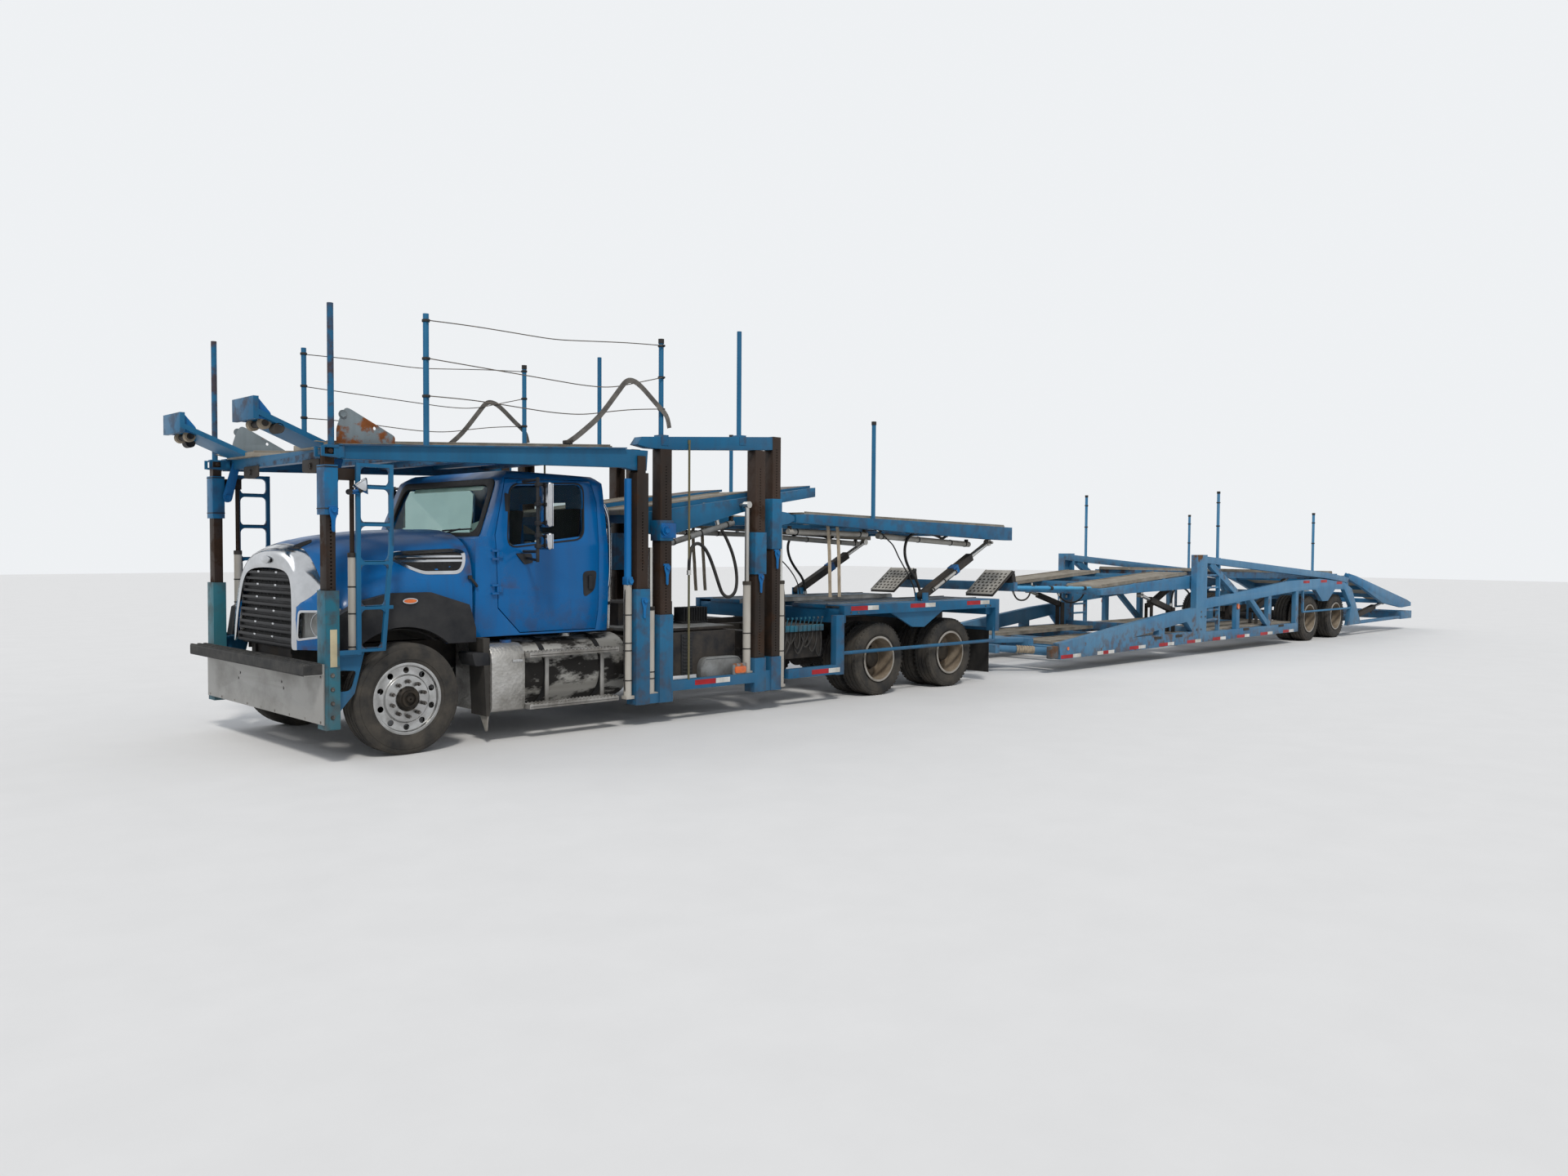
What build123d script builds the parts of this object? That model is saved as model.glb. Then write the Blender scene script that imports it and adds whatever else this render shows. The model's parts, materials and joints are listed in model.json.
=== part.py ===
"""Car transporter: a day-cab tractor with a head rack, and its low trailer, hinged at the stinger.

Millimetres. X runs forward, Y to the left, Z up, and the ground is at Z = 0. Every x in this file
is measured from the front axle, and save() moves the whole vehicle so that its middle is at X = 0.
"""
import math
import os

from build123d import *

os.makedirs("parts", exist_ok=True)

# Overall reach and width
front_tip_x = 1150
rear_tip_x = -23200
half_width = 1270
running_gap = 6
seat_gap = 0.3

# Wheels and axles
front_axle_x = 0
drive_axle_xs = (-5790, -7110)
trailer_axle_xs = (-17990, -19240)
front_tyre_radius = 455
front_tyre_width = 260
front_wheel_y = half_width - 225
front_rim_radius = 285
hand_hole_circle = 232
hand_hole_radius = 25
dual_tyre_radius = 420
dual_tyre_width = 245
dual_wheel_y = half_width - 355
dual_half_spacing = 140
dual_rim_radius = 250
flange_height = 12
hub_bore_radius = 48
spindle_radius = hub_bore_radius - seat_gap
kingpin_y = front_wheel_y - 175

# Tractor frame
rail_inner_y = 350
rail_outer_y = 430
rail_width = rail_outer_y - rail_inner_y
rail_bottom_z = 600
rail_top_z = 860
rail_front_x = 640
rail_rear_x = -7900

# Cab
cab_front_x = -690
cab_rear_x = -2075
cab_floor_z = 910
cab_roof_z = 2345
cab_half_width = half_width - 238
cab_roof_half_width = cab_half_width - 57
mirror_arm_y = cab_half_width + 298
seat_y = cab_half_width - 532
cab_wall = 45
cowl_z = 1760
windscreen_foot_x = -800
windscreen_head_x = -1000
door_front_x = -890
door_rear_x = -1965
door_hinge_x = -900
door_hinge_y = cab_half_width + 14
door_hinge_zs = (1320, 1620)
door_pin_radius = 7

# Hood and its pivot
hood_rear_x = -660
hood_front_x = 690
hood_wall = 35
hood_pivot_x = 628
hood_pin_radius = 15
hood_pivot_z = 830
arch_radius = 560
flare_outer_y = cab_half_width + 80
flare_inner_y = cab_half_width - 52
liner_y = cab_half_width - 532
lamp_y = (cab_half_width - 382, cab_half_width - 72)
grille_half_width = cab_half_width - 562

# Front bumper, posts and lift cylinders
bumper_half_width = half_width - 20
bumper_bottom_z = 320
bumper_top_z = 705
bumper_hole_radius = 13
step_board_reach = 160
step_board_top_z = 790
front_post_x = (610, 720)
bumper_plate_x = front_post_x[1] + seat_gap
post_depth = 150
post_inner_y = half_width - post_depth
post_outer_y = half_width
post_middle_y = half_width - 70
front_post_foot_z = 280
front_post_split_z = 1350
front_post_top_z = 2300
post_wall = 12
lift_barrel_x = 475
lift_barrel_y = post_middle_y
lift_barrel_radius = 33

# Head rack
head_hinge_x = -2300
head_hinge_z = 2490
head_front_x = 590
head_front_z = 2460
head_rear_z = 2600

# Middle deck
mid_hinge_x = -2600
mid_hinge_z = 1860
mid_lift_x = -3692
mid_beam_y = (post_inner_y - 110, post_inner_y - 30)

# Rear deck of the tractor
rear_hinge_x = -4250
rear_hinge_z = 2000
rear_deck_end_x = -8250
leg_foot_x = -6690
leg_foot_z = 1125
leg_head_x = -8010
leg_head_z = 1770
leg_y = half_width - 210
leg_half_width = 45
leg_rod_radius = 30

# Tandem deck
tandem_front_x = -5090
tandem_rear_x = -7910
tandem_top_z = 1060
tandem_beam_depth = 110

# Treads that a car's wheels run on
tread_inner_y = 450
tread_outer_y = half_width - 235
tread_thickness = 40

# Pins and stakes
pin_radius = 25
stake_radius = 24

# Tanks, between the frame and the posts
tank_radius = (post_inner_y - rail_outer_y - 74) / 2

# Trailer
pivot_x = -8450
pivot_pin_radius = 45
nose_x = -9380
well_floor_z = 400
well_strip_z = well_floor_z - 4
well_tread_outer_y = half_width - 340
main_post_x = (-13660, -13300)
main_post_top_z = 1610
truss_inner_y = half_width - 95
plate_inner_y = half_width - 75
front_cylinder_y = half_width - 260
back_cylinder_y = half_width - 270
front_cylinder_foot = (-12960, 745)
back_cylinder_foot = (-15970, 640)
ramp_cylinder_foot = (-20340, 360)
ramp_cylinder_y = half_width - 170
front_deck_hinge_x = -13480
front_deck_hinge_z = 1130
bridge_x = -8650
back_deck_hinge_x = -19250
back_deck_hinge_z = 1180
ramp_hinge_x = -19650
ramp_hinge_z = 1200

shift_x = -(front_tip_x + rear_tip_x) / 2


def inboard(depth):
    """A y value that lies a depth inside the vehicle's side."""
    return half_width - depth


def block(x, y, z):
    """A box between two values on each axis."""
    size = [abs(pair[1] - pair[0]) for pair in (x, y, z)]
    middle = [(pair[0] + pair[1]) / 2 for pair in (x, y, z)]
    return Pos(*middle) * Box(*size)


def side_plate(outline, y):
    """A plate with its outline drawn in side view, as (x, z) points, between two y values."""
    face = make_face(Polyline(*[(x, y[0], z) for x, z in outline], close=True))
    return extrude(face, amount=y[1] - y[0], dir=(0, 1, 0))


def front_plate(outline, x):
    """A plate with its outline drawn in front view, as (y, z) points, between two x values."""
    face = make_face(Polyline(*[(x[0], y, z) for y, z in outline], close=True))
    return extrude(face, amount=x[1] - x[0], dir=(1, 0, 0))


def top_plate(outline, z):
    """A plate with its outline drawn from above, as (x, y) points, between two z values."""
    face = make_face(Polyline(*[(x, y, z[0]) for x, y in outline], close=True))
    return extrude(face, amount=z[1] - z[0], dir=(0, 0, 1))


def rod(start, end, radius):
    """A round bar between two points."""
    way = Vector(*end) - Vector(*start)
    return Solid.make_cylinder(radius, way.length, Plane(origin=start, z_dir=way.normalized()))


def cross_pin(x, z, y, radius):
    """A round bar along Y."""
    return rod((x, y[0], z), (x, y[1], z), radius)


def flat_bar(start, end, depth, y):
    """A bar in side view from (x, z) to (x, z), of a depth across its length."""
    run_x, run_z = end[0] - start[0], end[1] - start[1]
    length = math.hypot(run_x, run_z)
    off_x, off_z = -run_z / length * depth / 2, run_x / length * depth / 2
    corners = [(start[0] + off_x, start[1] + off_z), (end[0] + off_x, end[1] + off_z),
               (end[0] - off_x, end[1] - off_z), (start[0] - off_x, start[1] - off_z)]
    return side_plate(corners, y)


def both_sides(*pieces):
    """The pieces of the left side and their mirror images on the right."""
    return list(pieces) + [mirror(piece, Plane.XZ) for piece in pieces]


def save(name, *pieces):
    """Join what touches, move it to the vehicle's middle and write it."""
    whole = Part() + list(pieces)
    export_step(Pos(shift_x, 0, 0) * Part(whole.wrapped), f"parts/{name}.step")


def revolved(profile, x, y, z, side):
    """A body of revolution about a line along Y. The profile is (outward, radius) points."""
    points = [(radius, outward) for outward, radius in profile]
    face = make_face(Polyline(*[(x + radius, y + side * outward, z) for radius, outward in points],
                              close=True))
    return revolve(face, Axis((x, y, z), (0, 1, 0)), 360)


def tyre(x, y, z, outer_radius, rim_radius, width, side):
    """A tyre seated on its rim: bead, side wall and tread, mirrored about its middle."""
    bead = width / 2 - 24
    seat = rim_radius + seat_gap
    half = [(bead, seat), (bead, seat + flange_height + 6), (width / 2, rim_radius + 55),
            (width / 2, outer_radius - 50), (width / 2 - 22, outer_radius)]
    profile = half + [(-outward, radius) for outward, radius in reversed(half)]
    return revolved(profile, x, y, z, side)


def front_wheel(name, side):
    """A single wheel whose disc stands near its outer face, with ten hand holes."""
    x, y, z = front_axle_x, side * front_wheel_y, front_tyre_radius
    edge = front_tyre_width / 2 - 12
    shell = front_rim_radius - 14
    flange = front_rim_radius + flange_height
    disc_out, disc_in, nut_face = 92, 76, 112
    profile = [(-edge, shell), (-edge, flange), (-edge + 8, flange), (-edge + 8, front_rim_radius),
               (edge - 8, front_rim_radius), (edge - 8, flange), (edge, flange), (edge, shell),
               (disc_out + 8, shell - 4), (disc_out, shell - 8), (disc_out, 200), (nut_face, 186),
               (nut_face, 104), (128, 98), (150, 78), (150, 0), (85, 0), (85, hub_bore_radius),
               (-70, hub_bore_radius), (-70, 110), (disc_in, 110), (disc_in, 258), (disc_in + 8, shell)]
    rim = revolved(profile, x, y, z, side)
    holes = [rod((x + hand_hole_circle * math.cos(turn), y + side * 60,
                  z + hand_hole_circle * math.sin(turn)),
                 (x + hand_hole_circle * math.cos(turn), y + side * 110,
                  z + hand_hole_circle * math.sin(turn)),
                 hand_hole_radius)
             for turn in [math.radians(18 + 36 * count) for count in range(10)]]
    rubber = tyre(x, y, z, front_tyre_radius, front_rim_radius, front_tyre_width, side)
    save(name, rim - holes, rubber)


def dual_wheel(name, x, side):
    """Twin wheels on one hub, with the deep dish of the outer one facing out."""
    y, z = side * dual_wheel_y, dual_tyre_radius
    edge = dual_half_spacing + dual_tyre_width / 2
    shell = dual_rim_radius - 12
    flange = dual_rim_radius + flange_height
    disc_out, disc_in = 18, 0
    profile = [(-edge, shell), (-edge, flange), (-edge + 10, flange), (-edge + 10, dual_rim_radius),
               (edge - 10, dual_rim_radius), (edge - 10, flange), (edge, flange), (edge, shell),
               (disc_out + 30, shell), (disc_out, 205), (disc_out, 120), (150, 105), (160, 90),
               (160, 0), (90, 0), (90, hub_bore_radius), (-110, hub_bore_radius), (-110, 115),
               (disc_in, 115), (disc_in, 205), (disc_in - 18, shell)]
    rim = revolved(profile, x, y, z, side)
    tyres = [tyre(x, y + side * offset, z, dual_tyre_radius, dual_rim_radius, dual_tyre_width, side)
             for offset in (-dual_half_spacing, dual_half_spacing)]
    save(name, rim, *tyres)


def build_wheels():
    for side_name, side in (("left", 1), ("right", -1)):
        front_wheel(f"front_wheel_{side_name}", side)
        for place, x in zip(("front", "rear"), drive_axle_xs):
            dual_wheel(f"drive_{place}_wheel_{side_name}", x, side)
        for place, x in zip(("front", "rear"), trailer_axle_xs):
            dual_wheel(f"trailer_{place}_wheel_{side_name}", x, side)


def axle_group(x, z):
    """A live or dead axle: its tube, its spindles and the hanger that carries it."""
    tube_end_y = dual_wheel_y - 225
    tube = rod((x, -tube_end_y, z), (x, tube_end_y, z), 62)
    spindles = both_sides(rod((x, tube_end_y - 50, z), (x, dual_wheel_y + 70, z), spindle_radius))
    bowl = rod((x - 150, 0, z), (x + 190, 0, z), 150)
    seats = both_sides(block((x - 80, x + 80), (rail_inner_y, rail_outer_y), (z - 80, rail_bottom_z)))
    return [tube, bowl] + spindles + seats


def build_axles():
    z = front_tyre_radius
    beam_end_y = kingpin_y - 110
    beam = block((-50, 50), (-beam_end_y, beam_end_y), (z - 120, z - 40))
    ends = both_sides(block((-45, 45), (beam_end_y, kingpin_y + 28), (z - 55, z + 55)) -
                      block((-60, 60), (kingpin_y - 80, kingpin_y + 50), (z - 41, z + 41)) -
                      rod((0, kingpin_y, z - 60), (0, kingpin_y, z + 60), 18 + seat_gap))
    eye_z = rail_bottom_z - seat_gap
    springs = both_sides(side_plate([(560, eye_z - 30), (0, z - 45), (-620, eye_z - 30), (-620, eye_z),
                                     (0, z + 20), (560, eye_z)], (rail_inner_y + 10, rail_outer_y - 5)))
    for side_name, side in (("left", 1), ("right", -1)):
        y = side * kingpin_y
        head = block((-35, 35), (y - side * 32, y + side * 62), (z - 36, z + 36))
        spindle = rod((0, y + side * 60, z), (0, side * (front_wheel_y + 70), z), spindle_radius)
        kingpin = rod((0, y, z - 54), (0, y, z + 54), 18)
        plate = rod((0, y + side * 80, z), (0, y + side * 98, z), 60)
        arm = block((-230, -30), (y - side * 30, y), (z - 30, z + 10))
        save(f"knuckle_{side_name}", head, spindle, plate, arm, kingpin)
    drives = []
    for x in drive_axle_xs:
        drives += axle_group(x, dual_tyre_radius)
    shaft = rod((drive_axle_xs[0] + 150, 0, dual_tyre_radius + 40), (-2500, 0, 560), 50)
    save("axles", beam, *ends, *springs, *drives, shaft)


def build_tractor_frame():
    rails = both_sides(block((rail_rear_x, rail_front_x), (rail_inner_y, rail_outer_y),
                             (rail_bottom_z, rail_top_z)))
    cross_xs = (560, -1600, -2450, -3900, -5100, -6450, -7850)
    cross = [block((x - 60, x + 60), (-rail_inner_y, rail_inner_y), (rail_bottom_z + 20, rail_top_z - 20))
             for x in cross_xs]
    outriggers = both_sides(*[block((x - 70, x + 70), (rail_outer_y, post_inner_y),
                                    (rail_bottom_z + 40, rail_top_z - 40))
                              for x in (-2450, -3900)])
    hanger = block((-7890, -7700), (-rail_outer_y, rail_outer_y), (300, rail_bottom_z))
    boom = block((-8560, -7800), (-180, 180), (300, 372))
    pin = rod((pivot_x, 0, 372), (pivot_x, 0, 460), pivot_pin_radius)
    cab_mounts = both_sides(*[block((x - 60, x + 60), (rail_inner_y, rail_outer_y),
                                    (rail_top_z, cab_floor_z - seat_gap)) for x in (-1000, -1900)])
    hood_pins = both_sides(cross_pin(hood_pivot_x, hood_pivot_z, (rail_outer_y - 30, 462), hood_pin_radius))
    save("tractor_frame", *rails, *cross, *outriggers, hanger, boom, pin, *cab_mounts, *hood_pins)
    engine_mounts = both_sides(block((-100, 0), (299, rail_inner_y - seat_gap), (700, 780)))
    save("engine", block((-560, 430), (-300, 300), (640, 1480)), *engine_mounts)


def cab_body(inset):
    """The cab's outer form, or the same form a wall's thickness inside it."""
    side = [(cab_front_x - inset, cab_floor_z + inset), (cab_rear_x + inset, cab_floor_z + inset),
            (cab_rear_x - 10 + inset, 1500), (cab_rear_x + 25 + inset, cab_roof_z - 60),
            (cab_rear_x + 110, cab_roof_z - inset), (windscreen_head_x - 100, cab_roof_z + 25 - inset),
            (windscreen_head_x - inset, cab_roof_z - 45 - inset),
            (windscreen_foot_x - inset, cowl_z + 20), (cab_front_x - inset, cowl_z - inset)]
    half = [(cab_half_width - 20 - inset, cab_floor_z), (cab_half_width - inset, 1250),
            (cab_half_width - inset, 1700), (cab_roof_half_width - inset, cab_roof_z - 110),
            (cab_roof_half_width - 10 - inset, cab_roof_z - 62), (cab_roof_half_width - 38 - inset,
                                                                  cab_roof_z - 22),
            (cab_roof_half_width - 85 - inset, cab_roof_z + 10), (cab_roof_half_width - 150 - inset,
                                                                  cab_roof_z + 30)]
    front = half + [(-y, z) for y, z in reversed(half)]
    reach = cab_half_width + 68
    return side_plate(side, (-reach, reach)) & front_plate(front, (-2400, 0))


def grown(outline, amount):
    """An outline in side view moved outwards from its middle by about an amount."""
    mid_x = sum(x for x, z in outline) / len(outline)
    mid_z = sum(z for x, z in outline) / len(outline)
    moved = []
    for x, z in outline:
        reach = math.hypot(x - mid_x, z - mid_z)
        moved.append((x + (x - mid_x) / reach * amount, z + (z - mid_z) / reach * amount))
    return moved


door_outline = [(door_front_x - 130, 2290), (door_front_x, 1790), (door_front_x - 25, 1160),
                (door_front_x - 250, cab_floor_z + 25), (door_rear_x + 20, cab_floor_z + 25),
                (door_rear_x, 1100), (door_rear_x - 5, 2100), (door_rear_x + 50, 2300)]
window_outline = [(-1050, 2185), (-1020, 1700), (-1790, 1790), (-1820, 1840), (-1815, 2230),
                  (-1770, 2265), (-1100, 2230)]


def mirrors(side):
    """The two mirror heads of a door, on one upright arm."""
    y = mirror_arm_y
    arm = rod((-1120, y, 1640), (-1120, y, 2290), 14)
    ends = [rod((-1150, cab_half_width - 22, 1650), (-1120, y, 1650), 14),
            rod((-1150, cab_roof_half_width - 45, 2262), (-1120, y, 2270), 14)]
    heads = [block((-1215, -1165), (y - 60, y + 110), z) for z in ((1860, 2250), (1665, 1815))]
    links = [block((-1166, -1120), (y - 10, y + 15), z) for z in ((2040, 2080), (1715, 1745))]
    pieces = [arm] + ends + heads + links
    return pieces if side == 1 else [mirror(piece, Plane.XZ) for piece in pieces]


def cab_hinge(z):
    """The cab's half of a door hinge: two lugs and the pin between them."""
    pin = rod((door_hinge_x, door_hinge_y, z - 45), (door_hinge_x, door_hinge_y, z + 45), door_pin_radius)
    pieces = [pin]
    for low, high in ((z - 45, z - 26), (z + 26, z + 45)):
        pieces.append(rod((door_hinge_x, door_hinge_y, low), (door_hinge_x, door_hinge_y, high), 11))
        pieces.append(block((door_hinge_x, -840), (door_hinge_y - 8, door_hinge_y + 11), (low, high)))
        pieces.append(block((-875, -840), (cab_half_width - 10, door_hinge_y), (low, high)))
    return pieces


def door_knuckle(z, side):
    """The door's half of a hinge: a bored barrel on a lug."""
    y = side * door_hinge_y
    knuckle = (rod((door_hinge_x, y, z - 25), (door_hinge_x, y, z + 25), 13) +
               block((-930, door_hinge_x), (y - side * 12, y + side * 8), (z - 25, z + 25)) +
               block((-945, -915), (y - side * 26, y + side * 8), (z - 25, z + 25)))
    return knuckle - rod((door_hinge_x, y, z - 30), (door_hinge_x, y, z + 30), door_pin_radius + seat_gap)


def build_cab():
    outer, inner = cab_body(0), cab_body(cab_wall)
    door_y = (cab_half_width - 162, cab_half_width + 68)
    door_holes = both_sides(side_plate(grown(door_outline, running_gap + 3), (door_y[0] - 6, door_y[1])))
    foot_y, head_y = cab_half_width - 182, cab_half_width - 222
    screen = [(-foot_y, cowl_z + 45), (foot_y, cowl_z + 45), (head_y, cab_roof_z - 95),
              (-head_y, cab_roof_z - 95)]
    screen_hole = front_plate(screen, (-1150, -700)) & block((-1120, -760), (-foot_y - 50, foot_y + 50),
                                                             (1780, 2260))
    back_hole = block((-2200, -1980), (-420, 420), (1720, 2120))
    shell = outer - inner - door_holes - screen_hole - back_hole
    save("cab_shell", shell, *both_sides(*[piece for z in door_hinge_zs for piece in cab_hinge(z)]))
    for side_name, side in (("left", 1), ("right", -1)):
        y = door_y if side == 1 else (-door_y[1], -door_y[0])
        panel = (outer - inner) & side_plate(door_outline, y)
        window = side_plate(window_outline, y)
        knuckles = [door_knuckle(z, side) for z in door_hinge_zs]
        save(f"door_{side_name}", panel - window, *knuckles, *mirrors(side))
    seats = both_sides(block((-1900, -1420), (seat_y - 260, seat_y + 260), (1150, 1380)),
                       side_plate([(-1900, 1380), (-1800, 1380), (-1880, 2050), (-1970, 2050)],
                                  (seat_y - 240, seat_y + 240)),
                       block((-1800, -1520), (seat_y - 170, seat_y + 170), (cab_floor_z + cab_wall, 1150)))
    dash = side_plate([(-760, cab_floor_z + cab_wall), (-800, cab_floor_z + cab_wall), (-900, 1350),
                       (-1080, 1450), (-1020, 1640), (-760, 1700)], (72 - cab_half_width,
                                                                     cab_half_width - 72))
    column = rod((-980, seat_y, 1430), (-1240, seat_y, 1560), 30)
    wheel_plane = Plane(origin=(-1240, seat_y, 1560), z_dir=(-260, 0, 130))
    wheel = wheel_plane * Torus(215, 16)
    spoke = wheel_plane * Box(420, 45, 14)
    save("cab_interior", *seats, dash, column, wheel, spoke)


# One row for each section of the hood: x, half width of the flat top, of the shoulder and of the
# side, then the heights of the top, the shoulder and the side's upper edge. The half widths are
# those beside a cab of half width 1032, and widen with it
hood_sections = [
    (-660, 560, 900, 1030, 1840, 1725, 1560),
    (-150, 500, 790, 1040, 1825, 1660, 1420),
    (330, 440, 640, 1030, 1755, 1560, 1270),
    (600, 400, 570, 990, 1665, 1430, 1170),
    (690, 360, 520, 880, 1560, 1330, 1110),
]
hood_widening = cab_half_width - 1032


def hood_form(inset, bottom_z):
    sections = []
    for x, top_y, shoulder_y, side_y, top_z, shoulder_z, side_z in hood_sections:
        out = hood_widening - inset
        half = [(top_y + out, top_z - inset), (shoulder_y + out, shoulder_z - inset),
                (side_y + out, side_z - inset), (side_y + out, bottom_z)]
        outline = half + [(-y, z) for y, z in reversed(half)]
        place = x - inset if x == hood_front_x else x
        sections.append(make_face(Polyline(*[(place, y, z) for y, z in outline], close=True)))
    return loft(sections, ruled=True)


def build_hood():
    outer = hood_form(0, 860)
    inner = hood_form(hood_wall, 800)
    grille_y = grille_half_width
    mouth = block((hood_front_x - 80, hood_front_x + 20), (-grille_y, grille_y), (900, 1480))
    lamp_holes = both_sides(block((560, 720), lamp_y, (930, 1160)))
    arch_y = (liner_y + 60, flare_outer_y)
    arches = both_sides(cross_pin(0, front_tyre_radius, arch_y, arch_radius),
                        block((-arch_radius, arch_radius), arch_y, (300, front_tyre_radius + 200)))
    shell = outer - inner - mouth - lamp_holes - arches
    liners = both_sides(side_plate([(-640, 900), (-640, 1900), (560, 1900), (560, 900)],
                                    (liner_y, liner_y + 15)) & outer)
    lugs = both_sides(side_plate([(605, 805), (650, 805), (672, 861), (672, 899), (605, 870)], (440, 458)) -
                      cross_pin(hood_pivot_x, hood_pivot_z, (400, 500), hood_pin_radius + seat_gap))
    save("hood", shell, *liners, *lugs)
    outer_half = [(grille_y + 10, 850), (grille_y + 90, 1250), (grille_y + 30, 1540), (grille_y - 50, 1600)]
    inner_half = [(grille_y - 40, 910), (grille_y + 20, 1250), (grille_y - 30, 1490), (grille_y - 90, 1530)]
    surround = front_plate(outer_half + [(-y, z) for y, z in reversed(outer_half)],
                           (hood_front_x + seat_gap, hood_front_x + 10))
    window = front_plate(inner_half + [(-y, z) for y, z in reversed(inner_half)],
                         (hood_front_x, hood_front_x + 12))
    bars = [block((662, 684), (-grille_y + seat_gap, grille_y - seat_gap), (z, z + 78))
            for z in (905, 1022, 1139, 1256, 1373)]
    rib_y = grille_y - 30
    ribs = [block((658, 668), (y - 12, y + 12), (900 + seat_gap, 1480 - seat_gap))
            for y in (-rib_y, -rib_y / 2, 0, rib_y / 2, rib_y)]
    lamps = both_sides(block((585, 720), (lamp_y[0] + seat_gap, lamp_y[1] - seat_gap),
                             (930 + seat_gap, 1160 - seat_gap)) & hood_form(6, 860))
    save("grille_and_lamps", surround - window, *bars, *ribs, *lamps)


def build_flares():
    arch = cross_pin(0, front_tyre_radius, (flare_inner_y - 80, flare_outer_y + 88), arch_radius + 20)
    outline = [(610, 880), (570, 1130), (370, 1250), (110, 1312), (-240, 1312), (-590, 1200),
               (-650, 1000), (-650, 880)]
    flares = both_sides(side_plate(outline, (flare_inner_y, flare_outer_y)) - hood_form(-seat_gap,
                                                                                        800) - arch)
    save("fender_flares", *flares)


def build_front_end():
    plate = block((bumper_plate_x, bumper_plate_x + 12), (-bumper_half_width, bumper_half_width),
                  (bumper_bottom_z, bumper_top_z))
    holes = both_sides(*[rod((bumper_plate_x - 5, y, z), (bumper_plate_x + 20, y, z), bumper_hole_radius)
                         for y, z in ((450, 590), (490, 540))])
    stays = both_sides(block((rail_front_x, bumper_plate_x), (rail_inner_y, rail_outer_y), (420, 700)))
    board = block((bumper_plate_x, bumper_plate_x + step_board_reach),
                  (-bumper_half_width, bumper_half_width), (bumper_top_z, step_board_top_z))
    save("front_bumper", plate - holes, *stays, board)
    x0, x1 = front_post_x
    shell = (block(front_post_x, (post_inner_y, post_outer_y), (front_post_foot_z, front_post_split_z)) -
             block((x0 + post_wall, x1 - post_wall), (post_inner_y + post_wall, post_outer_y - post_wall),
                   (front_post_foot_z + post_wall, front_post_split_z + 10)))
    gusset = side_plate([(x0, 856), (380, 856), (460, 540), (x0, 370)], (inboard(85), inboard(73)))
    shelf = block((lift_barrel_x - 45, x0), (inboard(120), inboard(20)), (835, 857))
    arm = block((x0, x1), (rail_outer_y, post_inner_y), (640, 720))
    ladder_y = (inboard(30), inboard(4))
    rails = [flat_bar((450, 845), (450, 2335), 34, ladder_y), flat_bar((250, 880), (180, 1700), 34, ladder_y),
             flat_bar((180, 1690), (180, 2335), 34, ladder_y)]
    rungs = [block((170, 465), ladder_y, (z - 14, z + 14)) for z in (1210, 1560, 1860, 2150, 2320)]
    foot = block((235, 465), ladder_y, (866, 894))
    tie = block((450, x0), ladder_y, (850, 885))
    save("front_posts", *both_sides(shell, gusset, shelf, arm, *rails, *rungs, foot, tie))


def build_front_lift():
    x0, x1 = front_post_x
    inset = post_wall + running_gap
    core_x, core_y = (x0 + inset, x1 - inset), (post_inner_y + inset, post_outer_y - inset)
    core = block(core_x, core_y, (front_post_foot_z + 120, front_post_top_z))
    sleeve = block((x0 + 3, x1 - 3), (post_inner_y + 3, post_outer_y - 3), (1930, 2310))
    tongue = block((x0 + 18, x1 - 18), (inboard(118), inboard(32)), (2300, 2445))
    pin = cross_pin(665, 2415, (inboard(145), inboard(5)), 18)
    link = block((lift_barrel_x - 30, x0 + 10), (inboard(95), inboard(45)), (2200, 2290))
    plunger = rod((lift_barrel_x, lift_barrel_y, 1250), (lift_barrel_x, lift_barrel_y, 2210), 18)
    save("front_lift_posts", *both_sides(core, sleeve, tongue, pin, link, plunger))


def head_top(x):
    """Height of the head rack's side beam, which rises towards the back."""
    return head_front_z + (head_front_x - x) * (head_rear_z - head_front_z) / (head_front_x + 2120)


def build_head_rack():
    beam_y = (inboard(118), inboard(32))
    outline = [(head_front_x, 2362), (head_front_x, head_front_z), (-2120, head_rear_z),
               (-2385, head_rear_z), (-2370, 2410), (-2230, 2410), (-2120, 2430), (-300, 2385)]
    beam = (side_plate(outline, beam_y) -
            cross_pin(head_hinge_x, head_hinge_z, beam_y, pin_radius + seat_gap))
    slot = block((641, 714), (inboard(170), half_width), (2390, 2441))
    cheeks = [side_plate([(head_front_x, 2362), (head_front_x, 2452), (738, 2452), (738, 2375)], y) - slot
              for y in ((inboard(146), inboard(128)), (inboard(22), inboard(4)))]
    root_block = block((560, head_front_x + 1), (inboard(146), inboard(4)), (2370, 2455))
    shelf = side_plate([(head_front_x, head_front_z), (-2120, head_rear_z), (-2120, head_rear_z + 12),
                        (head_front_x, head_front_z + 12)], (tread_outer_y + 5, half_width))
    cross = [block((x - 45, x + 45), (-beam_y[0], beam_y[0]), (head_top(x) - 90, head_top(x)))
             for x in (500, -200, -900, -1500, -2060)]
    tread = side_plate([(620, head_top(620) - 1), (-2120, head_rear_z - 1),
                        (-2120, head_rear_z + tread_thickness), (620, head_top(620) + tread_thickness)],
                       (tread_inner_y, tread_outer_y))
    chock = flat_bar((590, 2480), (1130, 2700), 40, (600, tread_outer_y - 5))
    nose = block((front_tip_x - 40, front_tip_x), (600, tread_outer_y - 5), (2640, 2810))
    stake = rod((-150, inboard(65), head_top(-150)), (-150, inboard(65), 3570), stake_radius)
    save("head_rack", *both_sides(beam, *cheeks, root_block, shelf, tread, chock, nose, stake), *cross)


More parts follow.
